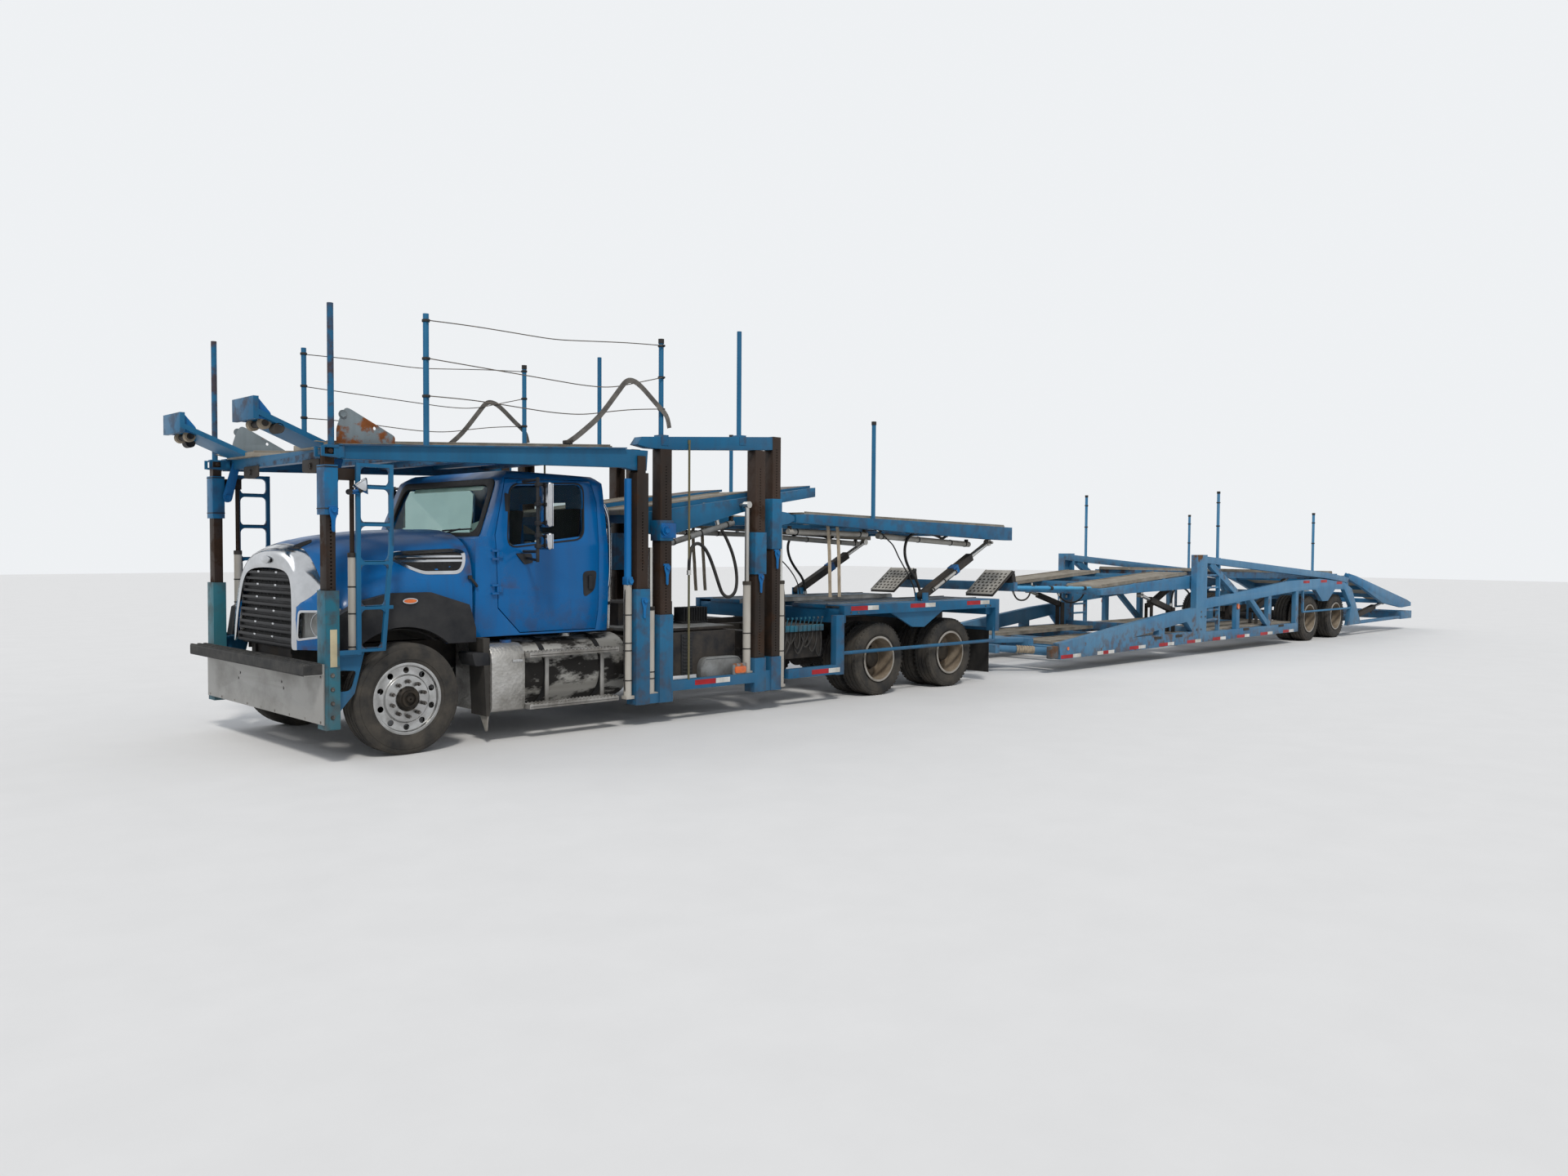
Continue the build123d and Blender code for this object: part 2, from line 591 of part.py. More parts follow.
# One row for each rack post: its front and back, the top of its socket and its own top
rack_posts = [
    (-2230, -2390, 1300, 2388),
    (-2510, -2670, 1050, 2625.7),
    (-3740, -3900, 560, 2686.5),
    (-3980, -4120, 560, 2840),
]
post_foot_z = 210


def build_rack_posts():
    channels, sockets, sleeves = [], [], []
    channel_y = (post_inner_y + 12, post_outer_y - 12)
    hinge_y = (inboard(148), inboard(2))
    for front, back, split_z, top_z in rack_posts:
        web = block((back + 12, front - 12), channel_y, (split_z, top_z))
        hollow = block((back + 26, front - 26), (inboard(170), inboard(30)), (split_z + 30, top_z - 30))
        channels.append(web - hollow)
        sockets.append(block((back, front), (post_inner_y, post_outer_y), (post_foot_z, split_z)))
    for row, bottom_z, top_z in ((1, 1755, 1950), (2, 1420, 1850), (3, 1680, 2200)):
        front, back = rack_posts[row][:2]
        bore = block((back + 12 - seat_gap, front - 12 + seat_gap),
                     (channel_y[0] - seat_gap, channel_y[1] + seat_gap),
                     (bottom_z - 10, top_z + 10))
        sleeves.append(block((back, front), (post_inner_y, post_outer_y), (bottom_z, top_z)) - bore)
    lugs = [block((head_hinge_x - 45, head_hinge_x + 45), y, (2380, 2545))
            for y in ((channel_y[0], channel_y[0] + 13), (channel_y[1] - 13, channel_y[1]))]
    head_pin = cross_pin(head_hinge_x, head_hinge_z, channel_y, pin_radius)
    save("rack_posts", *both_sides(*channels, *lugs, head_pin))
    mid_pin = cross_pin(mid_hinge_x, mid_hinge_z, (mid_beam_y[0] - 5, post_inner_y + 5), pin_radius)
    ears = [side_plate([(-4119, 1930), (-4119, 2070), (-4210, 2060), (-4305, 2020), (-4305, 1980),
                        (-4210, 1940)], y)
            for y in ((hinge_y[0], hinge_y[0] + 28), (hinge_y[1] - 28, hinge_y[1]))]
    rear_pin = cross_pin(rear_hinge_x, rear_hinge_z, hinge_y, pin_radius)
    rails = [block(x, (post_middle_y, post_outer_y), (310, 410)) for x in ((-3741, -2669), (-5090, -4230))]
    struts = [block((-3985, -3895), (inboard(130), inboard(20)), (post_foot_z, 420)),
              block((-2520, -2380), (inboard(130), inboard(20)), (post_foot_z, 300))]
    drop = block((-5090, -4960), (inboard(80), post_outer_y), (300, 955))
    save("post_sockets", *both_sides(*sockets, *sleeves, mid_pin, *ears, rear_pin, *rails, *struts, drop))


# One row for each cylinder beside a rack post: its x, foot, barrel top, rod top, barrel and rod radius
post_cylinders = [
    (-2180, 300, 1340, 2330, 38, 34),
    (-2450, 300, 1120, 1690, 38, 22),
    (-4172, 260, 1340, 1900, 40, 18),
]


def build_lift_cylinders():
    pieces = []
    y = post_middle_y
    for x, foot_z, barrel_z, top_z, barrel_radius, rod_radius in post_cylinders:
        pieces.append(rod((x, y, foot_z), (x, y, barrel_z), barrel_radius))
        pieces.append(rod((x, y, barrel_z), (x, y, top_z), rod_radius))
    feet = [block(x, (y - 40, y + 40), z) for x, z in (((-2229.7, -2140), (270, 300)), ((-4210, -4120.3),
                                                                                        (230, 260)),
                                                       ((-3739.7, -3650), (411, 430)), ((-2509.7, -2400),
                                                                                        (301, 312)))]
    mid_barrel = (rod((mid_lift_x, y, 430), (mid_lift_x, y, 1340), 40) -
                  rod((mid_lift_x, y, 480), (mid_lift_x, y, 1350), 25 + seat_gap))
    front_barrel = (rod((lift_barrel_x, lift_barrel_y, 857.3), (lift_barrel_x, lift_barrel_y, 1630),
                        lift_barrel_radius) -
                    rod((lift_barrel_x, lift_barrel_y, 880), (lift_barrel_x, lift_barrel_y, 1640),
                        18 + seat_gap))
    save("lift_barrels", *both_sides(*pieces, *feet, mid_barrel, front_barrel))
    eye = cross_pin(mid_lift_x, 2130, (y - 35, y + 35), 34)
    stub = cross_pin(mid_lift_x, 2130, (mid_beam_y[1] + 7, y), 16)
    save("mid_lift_rods", *both_sides(rod((mid_lift_x, y, 600), (mid_lift_x, y, 2130), 25), eye, stub))


def build_top_rails():
    outline = [(-2245, 2650), (-2300, 2725), (-4080, 2842), (-4080, 2710), (-3900, 2696), (-2670, 2626),
               (-2400, 2626)]
    posts_away = [block((rack_posts[3][1] + 12 - seat_gap, rack_posts[3][0] - 12 + seat_gap),
                        (post_inner_y, inboard(9)),
                        (2600, 2900))]
    rail = side_plate(outline, (inboard(130), inboard(14))) - posts_away
    stakes = [rod((x, post_middle_y, z), (x, post_middle_y, top), stake_radius)
              for x, z, top in ((-2570, 2730, 3670), (-3570, 2800, 3870))]
    sockets = [block((x - 45, x + 45), (inboard(120), inboard(8)), (z - 80, z + 20))
               for x, z in ((-2570, 2740), (-3570, 2805))]
    save("top_rails", *both_sides(rail, *sockets, *stakes))


def build_mid_deck():
    outline = [(-2300, 1850), (-2300, 2000), (-3980, 2240), (-4800, 2350), (-4800, 2250), (-4250, 2165),
               (-3700, 2050), (-2730, 1800)]
    beam = side_plate(outline, mid_beam_y) - cross_pin(mid_hinge_x, mid_hinge_z, mid_beam_y,
                                                       pin_radius + seat_gap)
    reach = mid_beam_y[0] + 2
    cross = [block((x - 40, x + 40), (-reach, reach), (z - 90, z))
             for x, z in ((-2400, 2014), (-3300, 2143), (-4200, 2265))]
    tread = side_plate([(-2300, 1999), (-3980, 2239), (-3980, 2285), (-2300, 2045)],
                       (tread_inner_y, mid_beam_y[0] - 2))
    tail = side_plate([(-3970, 2236), (-4800, 2349), (-4800, 2375), (-3970, 2265)],
                      (tread_inner_y, mid_beam_y[0] - 2))
    save("mid_deck", *both_sides(beam, tread, tail), *cross)


def rear_top(x):
    """Height of the tractor's rear deck, which falls towards the back."""
    return 2055 + (x + 4400) * (2055 - 1965) / (8250 - 4400)


def build_rear_deck():
    end = rear_deck_end_x
    outline = [(-4330, 2045), (-4500, rear_top(-4500)), (end, rear_top(end)), (end, 1800), (-7800, 1810),
               (-5400, 1905), (-4500, 1950), (-4330, 1960)]
    beam_inner_y = inboard(120)
    eye_y = (inboard(114), inboard(36))
    beam = side_plate(outline, (beam_inner_y, half_width))
    eye = (cross_pin(rear_hinge_x, rear_hinge_z, eye_y, 52) +
           block((-4335, rear_hinge_x), eye_y, (1965, 2035)) -
           cross_pin(rear_hinge_x, rear_hinge_z, eye_y, pin_radius + seat_gap))
    cross = [block((x - 45, x + 45), (-beam_inner_y, beam_inner_y), (rear_top(x) - 110, rear_top(x) - 10))
             for x in (-4600, -5500, -6400, -7300, -8180)]
    tread = side_plate([(-4560, rear_top(-4560) - 12), (end, rear_top(end) - 12), (end, rear_top(end) + 22),
                        (-4560, rear_top(-4560) + 22)], (tread_inner_y, beam_inner_y + 1))
    stake = rod((-5620, inboard(60), rear_top(-5620) - 5), (-5620, inboard(60), 3120), stake_radius)
    save("rear_deck", *both_sides(beam, eye, tread, stake), *cross)


def slanted_cylinder(foot, head, y, split, half, rod_radius, stub_y):
    """A boxed cylinder on the slant: its barrel from the foot pin, and its rod up to an eye."""
    start, end = Vector(foot[0], y, foot[1]), Vector(head[0], y, head[1])
    way = (end - start).normalized()
    length = (end - start).length
    barrel = flat_bar(foot, tuple(start + way * length * split)[0::2], half * 2, (y - half, y + half))
    barrel = barrel + cross_pin(foot[0], foot[1], (y - half, y + half), half)
    bore = Solid.make_cylinder(rod_radius + seat_gap, length, Plane(origin=start + way * 80, z_dir=way))
    pin_hole = cross_pin(foot[0], foot[1], (y - 200, y + 200), 20 + seat_gap)
    plunger = Solid.make_cylinder(rod_radius, length * 0.62, Plane(origin=start + way * length * 0.38,
                                                                   z_dir=way))
    eye = cross_pin(head[0], head[1], (y - 35, y + 35), 40)
    stub = cross_pin(head[0], head[1], (y, stub_y), 16)
    return barrel - bore - pin_hole, plunger + eye + stub


def foot_bracket(foot, y, half, base_z):
    """Two ears and a pin that carry a slanted cylinder's foot."""
    ears = [block((foot[0] - 50, foot[0] + 50), pair, (base_z, foot[1] + 35))
            for pair in ((y - half - 16, y - half - 2), (y + half + 2, y + half + 16))]
    return ears + [cross_pin(foot[0], foot[1], (y - half - 16, y + half + 16), 20)]


def build_legs():
    barrel, plunger = slanted_cylinder((leg_foot_x, leg_foot_z), (leg_head_x, leg_head_z), leg_y, 0.72,
                                       leg_half_width, leg_rod_radius, inboard(128))
    save("rear_leg_barrels", *both_sides(barrel))
    save("rear_leg_rods", *both_sides(plunger))


def build_tandem_deck():
    bottom_z = tandem_top_z - tandem_beam_depth
    beam_inner_y, strip_inner_y = inboard(80), inboard(290)
    beam = block((tandem_rear_x, tandem_front_x), (beam_inner_y, half_width), (bottom_z, tandem_top_z))
    end_plate = block((-7990, tandem_rear_x + 1), (inboard(140), half_width), (650, 1055))
    web = side_plate([(-5930, bottom_z + 1), (-6320, 770), (-6540, 760), (-6900, bottom_z + 1)],
                     (plate_inner_y, inboard(45)))
    cross = [block((x - 50, x + 50), (-beam_inner_y, beam_inner_y), (rail_top_z, tandem_top_z - 42))
             for x in (-5150, -6450, -7860)]
    ears = foot_bracket((leg_foot_x, leg_foot_z), leg_y, leg_half_width, tandem_top_z)
    plates = [block((tandem_rear_x, tandem_front_x), (strip_inner_y, beam_inner_y + 1),
                    (tandem_top_z - 12, tandem_top_z))]
    treads = block((tandem_rear_x, tandem_front_x), (tread_inner_y, strip_inner_y + 1),
                   (tandem_top_z - 43, tandem_top_z))
    guard = rod((-7920, inboard(35), 530), (-5090, inboard(35), 530), 20)
    hanger = block((-7940, -7900), (inboard(45), inboard(25)), (530, 700))
    flap_bar = block((-7995, -7965), (rail_outer_y - 20, inboard(139)), (650, 690))
    flap_tie = block((-7990, -7900), (rail_inner_y, rail_outer_y), (650, 690))
    save("tandem_deck", *both_sides(beam, end_plate, web, *ears, *plates, treads, guard, hanger, flap_bar,
                                    flap_tie),
         *cross)
    flap = block((-7985, -7975), (dual_wheel_y - 275, dual_wheel_y + 205), (110, 650 - seat_gap))
    tail = side_plate([(-692, cab_floor_z - seat_gap), (-755, cab_floor_z - seat_gap), (-755, 240),
                       (-722, 240)],
                      (front_wheel_y - 145, front_wheel_y + 105))
    save("mud_flaps", *both_sides(flap, tail))


def build_tanks():
    tank_y = rail_outer_y + 62 + tank_radius
    tank_z = cab_floor_z - 32 - tank_radius
    tank = rod((-1095, tank_y, tank_z), (-2300, tank_y, tank_z), tank_radius)
    box = block((-1085, -760), (rail_outer_y + 130, inboard(90)), (265, 850))
    straps = both_sides(*[block((x - 30, x + 30), (rail_outer_y, rail_outer_y + 90), (tank_z - 10, 640))
                          for x in (-1980, -1280)])
    steps = [block((-2040, -1095), (tank_y + tank_radius + 4, inboard(20)), z) for z in ((728, 768),
                                                                                         (275, 315))]
    hangers = [block((x - 25, x + 25), (tank_y + tank_radius - 10, tank_y + tank_radius + 17), (315, 728))
               for x in (-1280, -1930)]
    tie = block((-1000, -850), (rail_outer_y, rail_outer_y + 131), (620, 780))
    save("fuel_tanks", *both_sides(tank, box, tie, *steps, *hangers), *straps)


def build_machinery():
    deck_edge_y = post_inner_y - 120
    deck = block((-3700, -2520), (-deck_edge_y, deck_edge_y), (rail_top_z, rail_top_z + 30))
    tool_box = block((-3620, -2760), (rail_outer_y, post_inner_y - 20), (430, 850))
    pump = block((-3400, -2700), (-350, 350), (rail_top_z + 30, 1120))
    stack = both_sides(rod((-2260, 700, 905), (-2260, 700, 1740), 65))
    bank = both_sides(block((-4900, -4300), (rail_outer_y, post_inner_y - 20), (500, 850)))
    pipe_feet = both_sides(block((-2330, -2190), (rail_inner_y, 770), (880, 905)),
                           block((-2330, -2190), (rail_inner_y, rail_outer_y), (rail_top_z, 880)))
    save("machinery", deck, pump, *both_sides(tool_box), *bank, *stack, *pipe_feet)


def build_trailer_frame():
    outline = [(nose_x, 410), (-9960, 465), (-10850, 560), (-12400, 710), (-13300, 768), (-13300, 300),
               (-13320, 215), (-9430, 190)]
    windows = [[(-11350, 395), (-12120, 470), (-12120, 395)], [(-12300, 395), (-12300, 490), (-13000, 560),
                                                               (-13200, 395)]]
    wedge = side_plate(outline, (truss_inner_y, half_width))
    for window in windows:
        wedge = wedge - side_plate(window, (inboard(170), half_width))
    sill = block((-17220, -13310), (truss_inner_y, half_width), (215, 370))
    post = (block(main_post_x, (truss_inner_y, half_width), (300, main_post_top_z)) -
            block((-13600, -13360), (inboard(170), inboard(15)), (800, 1560)))
    arch_outline = [(-13650, 900), (-14130, 930), (-16840, 1140), (-18200, 1160), (-19380, 1075),
                    (-19780, 940),
                    (-20280, 250), (-19620, 220), (-19760, 600), (-19390, 935), (-18930, 945), (-18590, 735),
                    (-18330, 735), (-18000, 960), (-17120, 950), (-14140, 780), (-13650, 750)]
    arched = side_plate(arch_outline, (plate_inner_y, half_width))
    top_rail = side_plate([(-13310, 1605), (-16510, 1400), (-18550, 1270), (-19600, 1160), (-19600, 1060),
                           (-18550, 1160), (-16510, 1290), (-13310, 1500)], (truss_inner_y, half_width))
    strut_y, upright_y = (plate_inner_y, inboard(8)), (inboard(80), inboard(5))
    struts = [flat_bar((-13800, 1470), (-14780, 970), 110, (inboard(80), inboard(8))),
              flat_bar((-19500, 1140), (-19560, 1000), 120, strut_y),
              block((-17250, -17130), upright_y, (215, 960)), block((-16100, -15980), upright_y, (365, 1020)),
              block((-14860, -14740), upright_y, (365, 880)), flat_bar((-15990, 400), (-15200, 920), 90,
                                                                       strut_y)]
    ladder = [block((-14140, -14100), (inboard(70), inboard(8)), (365, 1560))]
    rungs = [block((-14110, -13650), (inboard(55), inboard(15)), (z - 15, z + 15)) for z in (560, 720, 1080,
                                                                                             1280)]
    stakes = [rod((x, inboard(48), z), (x, inboard(48), top), stake_radius)
              for x, z, top in ((-14100, 1530, 2640), (-17950, 1290, 2380))]
    guard = rod((-17470, inboard(25), 560), (-19800, inboard(25), 560), 18)
    lower_bar = flat_bar((-19800, 255), (-22549, 275), 60, (plate_inner_y, inboard(10)))
    ramp_ear = flat_bar((-19540, 1100), (-19700, 1215), 90, (truss_inner_y, plate_inner_y + 2))
    ramp_pin = cross_pin(ramp_hinge_x, ramp_hinge_z, (inboard(90), inboard(8)), pin_radius)
    guard_feet = [block((x - 20, x + 20), (inboard(45), inboard(8)), (560, z)) for x,
                  z in ((-17480, 960), (-19770, 640))]
    save("trailer_sides", *both_sides(wedge, sill, post, arched, top_rail, *struts, *ladder, *rungs,
                                      *stakes, guard,
                                      *guard_feet, lower_bar, ramp_ear, ramp_pin))
    cross = [block((x - 60, x + 60), (-truss_inner_y, truss_inner_y), (z, z + 130))
             for x, z in ((-9560, 220), (-10800, 230), (-12200, 230), (-13480, 320), (-14800, 230))]
    yoke_end_y = half_width - 630
    tongue = top_plate([(-8350, -120), (-8350, 120), (-8800, 300), (-9500, 620), (-9500, -620),
                        (-8800, -300)],
                       (382, 440))
    tongue = tongue - rod((pivot_x, 0, 300), (pivot_x, 0, 500), pivot_pin_radius + seat_gap)
    yoke = block((-8900, -8800), (-yoke_end_y, yoke_end_y), (270, 383))
    risers = [block((-9620, -9499), (-700, 700), (220, 440))]
    spine_cross = block((-17250, -17130), (-truss_inner_y, truss_inner_y), (230, 360))
    spine = both_sides(block((-20200, -17190), (rail_inner_y, rail_outer_y), (600, 760)))
    spine_ends = both_sides(block((-17250, -17130), (rail_inner_y, rail_outer_y), (230, 760)))
    rear_cross = [block((x - 50, x + 50), (-plate_inner_y, plate_inner_y), (760, 860)) for x in (-18455,
                                                                                                 -19740)]
    tail_cross = [block((-20250, -20150), (-plate_inner_y, plate_inner_y), (280, 400)),
                  block((-20250, -20150), (-rail_outer_y, rail_outer_y), (390, 610))]
    end_beam = (block((rear_tip_x, -22550), (-half_width, half_width), (235, 395)) -
                block((-23120, -22620), (-inboard(80), inboard(80)), (200, 420)))
    brackets = (foot_bracket(front_cylinder_foot, front_cylinder_y, 40, well_strip_z) +
                foot_bracket(back_cylinder_foot, back_cylinder_y, 45, well_strip_z) +
                [cross_pin(front_deck_hinge_x, front_deck_hinge_z, (inboard(190), inboard(15)), pin_radius),
                 cross_pin(back_deck_hinge_x, back_deck_hinge_z, (inboard(206), truss_inner_y), pin_radius)])
    rams = both_sides(rod((-9510, inboard(201), 292), (-8880, yoke_end_y - 101, 331), 45))
    save("trailer_frame", *cross, tongue, yoke, *risers, end_beam, *rams)
    save("trailer_spine", spine_cross, *spine, *spine_ends, *rear_cross, *tail_cross)
    save("deck_brackets", *both_sides(*brackets))
    floor = []
    bottom_z = well_floor_z - tread_thickness
    for x in ((-13100, -9700), (-17130, -13700)):
        floor.append(block(x, (tread_inner_y, well_tread_outer_y), (bottom_z, well_floor_z)))
        floor.append(block(x, (well_tread_outer_y, truss_inner_y - seat_gap), (bottom_z, well_strip_z)))
    save("trailer_treads", *both_sides(*floor))
    axles = []
    for x in trailer_axle_xs:
        axles += axle_group(x, dual_tyre_radius)[:1] + axle_group(x, dual_tyre_radius)[2:]
    save("trailer_axles", *axles)


def front_deck_top(x):
    return 1120 + (-10650 - x) * (1290 - 1120) / (13400 - 10650)


def build_trailer_front_deck():
    outline = [(-10640, 1118), (-13400, 1280), (-13540, 1280), (-13540, 1080), (-13400, 1070), (-11400, 1040),
               (-10640, 1030)]
    beam_y = (inboard(185), inboard(115))
    beam = (side_plate(outline, beam_y) -
            cross_pin(front_deck_hinge_x, front_deck_hinge_z, beam_y, pin_radius + seat_gap))
    reach = beam_y[0] + 1
    cross = [block((x - 45, x + 45), (-reach, reach), (front_deck_top(x) - 85, front_deck_top(x) + 1))
             for x in (-10700, -11700, -12600, -13300)]
    slides = both_sides(*[rod((-8650, y, 1170), (-11600, y, 1105), 22) for y in (600, 900)])
    bridge = block((bridge_x - 40, bridge_x + 40), (-inboard(210), inboard(210)), (1130, 1250))
    brackets = both_sides(side_plate([(-8690, 1240), (-8610, 1240), (-8590, 1360), (-8660, 1360)],
                                     (640, inboard(230))))
    tread = side_plate([(-10760, front_deck_top(-10760)), (-13350, front_deck_top(-13350)),
                        (-13350, front_deck_top(-13350) + 40), (-10760, front_deck_top(-10760) + 40)],
                       (500, beam_y[0] - 5))
    ramp = side_plate([(-8150, 1072), (-8150, 1098), (-8590, 1400), (-8640, 1400), (-8640, 1361),
                       (-8590, 1361)],
                      (620, inboard(220)))
    save("trailer_front_deck", *both_sides(beam, tread, ramp), *cross, *slides, bridge, *brackets)
    barrel, plunger = slanted_cylinder(front_cylinder_foot, (-12000, 1000), front_cylinder_y, 0.7, 40, 26,
                                       beam_y[0] - 7)
    save("front_deck_barrels", *both_sides(barrel))
    save("front_deck_rods", *both_sides(plunger))


def back_deck_top(x):
    return 1235 + (x + 19300) * (1330 - 1235) / (19300 - 14300)


def build_trailer_back_deck():
    beam_y = (inboard(200), inboard(120))
    beam = (side_plate([(-14300, 1330), (-14300, 1230), (-19150, 1130), (-19330, 1140), (-19330, 1235)],
                       beam_y) -
            cross_pin(back_deck_hinge_x, back_deck_hinge_z, beam_y, pin_radius + seat_gap))
    reach = beam_y[0] + 1
    cross = [block((x - 45, x + 45), (-reach, reach), (back_deck_top(x) - 85, back_deck_top(x) + 1))
             for x in (-14400, -15500, -16600, -17900, -19000)]
    tread = side_plate([(-14300, back_deck_top(-14300)), (-19300, back_deck_top(-19300)),
                        (-19300, back_deck_top(-19300) + 40), (-14300, back_deck_top(-14300) + 40)],
                       (500, beam_y[0] - 2))
    save("trailer_back_deck", *both_sides(beam, tread), *cross)
    barrel, plunger = slanted_cylinder(back_cylinder_foot, (-17260, 1170), back_cylinder_y, 0.7, 45, 30,
                                       beam_y[0] - 6)
    save("back_deck_barrels", *both_sides(barrel))
    save("back_deck_rods", *both_sides(plunger))


def ramp_top(x):
    return 1185 + (-20000 - x) * (640 - 1185) / (22890 - 20000)


def build_rear_ramp():
    outline = [(-19610, 1240), (-20000, 1185), (-22890, 640), (-23150, 575), (-23150, 500), (-22600, 480),
               (-21450, 620), (-20300, 960), (-19610, 1130)]
    side_y = (inboard(70), half_width)
    side = side_plate(outline, side_y) - cross_pin(ramp_hinge_x, ramp_hinge_z, side_y, pin_radius + seat_gap)
    reach = side_y[0] + 1
    tread = side_plate([(-20000, 1184), (-22890, 639), (-22890, 600), (-20000, 1145)], (500, reach))
    cross = [block((x - 45, x + 45), (-reach, reach), (ramp_top(x) - 110, ramp_top(x) - 20))
             for x in (-20100, -21000, -22000, -22800)]
    save("rear_ramp", *both_sides(side, tread), *cross)
    y = ramp_cylinder_y
    barrel, plunger = slanted_cylinder(ramp_cylinder_foot, (-21900, 600), y, 0.7, 45, 28, side_y[0] - 8)
    save("ramp_barrels", *both_sides(barrel))
    save("ramp_rods", *both_sides(plunger))
    save("ramp_brackets", *both_sides(*foot_bracket(ramp_cylinder_foot, y, 45, 290),
                                      block((-20400, -20250), (y - 65, y + 65), (280, 310))))


build_wheels()
build_axles()
build_tractor_frame()
build_cab()
build_hood()
build_flares()
build_front_end()
build_front_lift()
build_head_rack()
build_rack_posts()
build_lift_cylinders()
build_top_rails()
build_mid_deck()
build_rear_deck()
build_legs()
build_tandem_deck()
build_tanks()
build_machinery()
build_trailer_frame()
build_trailer_front_deck()
build_trailer_back_deck()
build_rear_ramp()
print(len(os.listdir("parts")), "files")
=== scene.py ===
import bpy, json, math
from mathutils import Matrix, Vector

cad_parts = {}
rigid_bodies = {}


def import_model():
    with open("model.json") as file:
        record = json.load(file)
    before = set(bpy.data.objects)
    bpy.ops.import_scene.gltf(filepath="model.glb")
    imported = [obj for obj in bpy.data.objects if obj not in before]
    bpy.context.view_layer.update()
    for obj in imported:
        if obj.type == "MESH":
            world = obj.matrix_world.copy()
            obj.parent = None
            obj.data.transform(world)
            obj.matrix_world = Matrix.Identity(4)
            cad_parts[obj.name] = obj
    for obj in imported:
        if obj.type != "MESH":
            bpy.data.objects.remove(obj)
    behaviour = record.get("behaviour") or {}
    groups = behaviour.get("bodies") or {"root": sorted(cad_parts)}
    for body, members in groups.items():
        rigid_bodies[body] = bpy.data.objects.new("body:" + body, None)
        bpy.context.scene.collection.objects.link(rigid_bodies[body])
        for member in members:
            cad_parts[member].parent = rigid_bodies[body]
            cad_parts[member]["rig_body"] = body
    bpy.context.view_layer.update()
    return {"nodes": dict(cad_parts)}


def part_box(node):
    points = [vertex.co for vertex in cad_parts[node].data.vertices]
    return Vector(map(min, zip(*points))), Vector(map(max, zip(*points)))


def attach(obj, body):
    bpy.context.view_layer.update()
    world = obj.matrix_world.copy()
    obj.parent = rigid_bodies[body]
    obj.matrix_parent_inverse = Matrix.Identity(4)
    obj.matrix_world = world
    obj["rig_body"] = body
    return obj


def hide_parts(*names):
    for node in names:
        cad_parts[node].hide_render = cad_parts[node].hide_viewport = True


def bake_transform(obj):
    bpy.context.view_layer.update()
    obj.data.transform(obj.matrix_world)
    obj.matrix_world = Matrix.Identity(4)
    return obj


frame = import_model()
frontAxle = 11025   # millimetres: every place below is measured from the front axle, forward, left and up
print("frame loaded")


def at(x, y, z):
    return Vector(((x + frontAxle) / 1000, y / 1000, z / 1000))


def clearSelection():
    if bpy.context.object and bpy.context.object.mode != "OBJECT":
        leaveEdit()
    bpy.ops.object.select_all(action="DESELECT")


def selectOnly(piece):
    clearSelection()
    piece.select_set(True)
    bpy.context.view_layer.objects.active = piece


def leaveEdit():
    bpy.ops.object.mode_set(mode="OBJECT")


def editAll():
    bpy.ops.object.mode_set(mode="EDIT")
    bpy.ops.mesh.select_all(action="SELECT")


def editFaces(piece, test):
    # edit mode with only the faces selected that pass the test
    bpy.ops.object.mode_set(mode="EDIT")
    bpy.ops.mesh.select_all(action="DESELECT")
    bpy.ops.mesh.select_mode(type="FACE")
    leaveEdit()
    for face in piece.data.polygons:
        face.select = test(face)
    bpy.ops.object.mode_set(mode="EDIT")


# materials

def feed(tree, node, inputs):
    # each input is a number, a colour or another node's output
    for name, value in inputs.items():
        if isinstance(value, bpy.types.NodeSocket):
            tree.links.new(value, node.inputs[name])
        else:
            node.inputs[name].default_value = value


def addNode(tree, kind, inputs):
    node = tree.nodes.new("ShaderNode" + kind)
    feed(tree, node, inputs)
    return node


def newMaterial(name):
    material = bpy.data.materials.new(name)
    material.use_nodes = True
    tree = material.node_tree
    return material, tree, tree.nodes["Principled BSDF"], addNode(tree, "TexCoord", {}).outputs["Object"]


def noise(tree, vector, scale, detail=6, rough=0.6, stretch=None):
    if stretch:
        vector = addNode(tree, "Mapping", {"Vector": vector, "Scale": stretch}).outputs["Vector"]
    inputs = {"Vector": vector, "Scale": scale, "Detail": detail, "Roughness": rough}
    return addNode(tree, "TexNoise", inputs).outputs["Fac"]


def ramp(tree, value, low, high):
    return addNode(tree, "MapRange", {"Value": value, "From Min": low, "From Max": high}).outputs["Result"]


def blendColour(tree, factor, first, second):
    mix = tree.nodes.new("ShaderNodeMix")
    mix.data_type = "RGBA"
    first, second = (colour + (1,) if isinstance(colour, tuple) else colour for colour in (first, second))
    feed(tree, mix, {"Factor": factor, 6: first, 7: second})
    return mix.outputs[2]


def combine(tree, operation, first, second):
    result = addNode(tree, "Math", {0: first, 1: second})
    result.operation = operation
    result.use_clamp = True
    return result.outputs[0]


def roughen(tree, shader, value, smoothest, roughest):
    spread = addNode(tree, "MapRange", {"Value": value, "To Min": smoothest, "To Max": roughest})
    feed(tree, shader, {"Roughness": spread.outputs["Result"]})


def addBump(tree, shader, height, strength, distance):
    bump = addNode(tree, "Bump", {"Height": height, "Strength": strength, "Distance": distance})
    feed(tree, shader, {"Normal": bump.outputs["Normal"]})


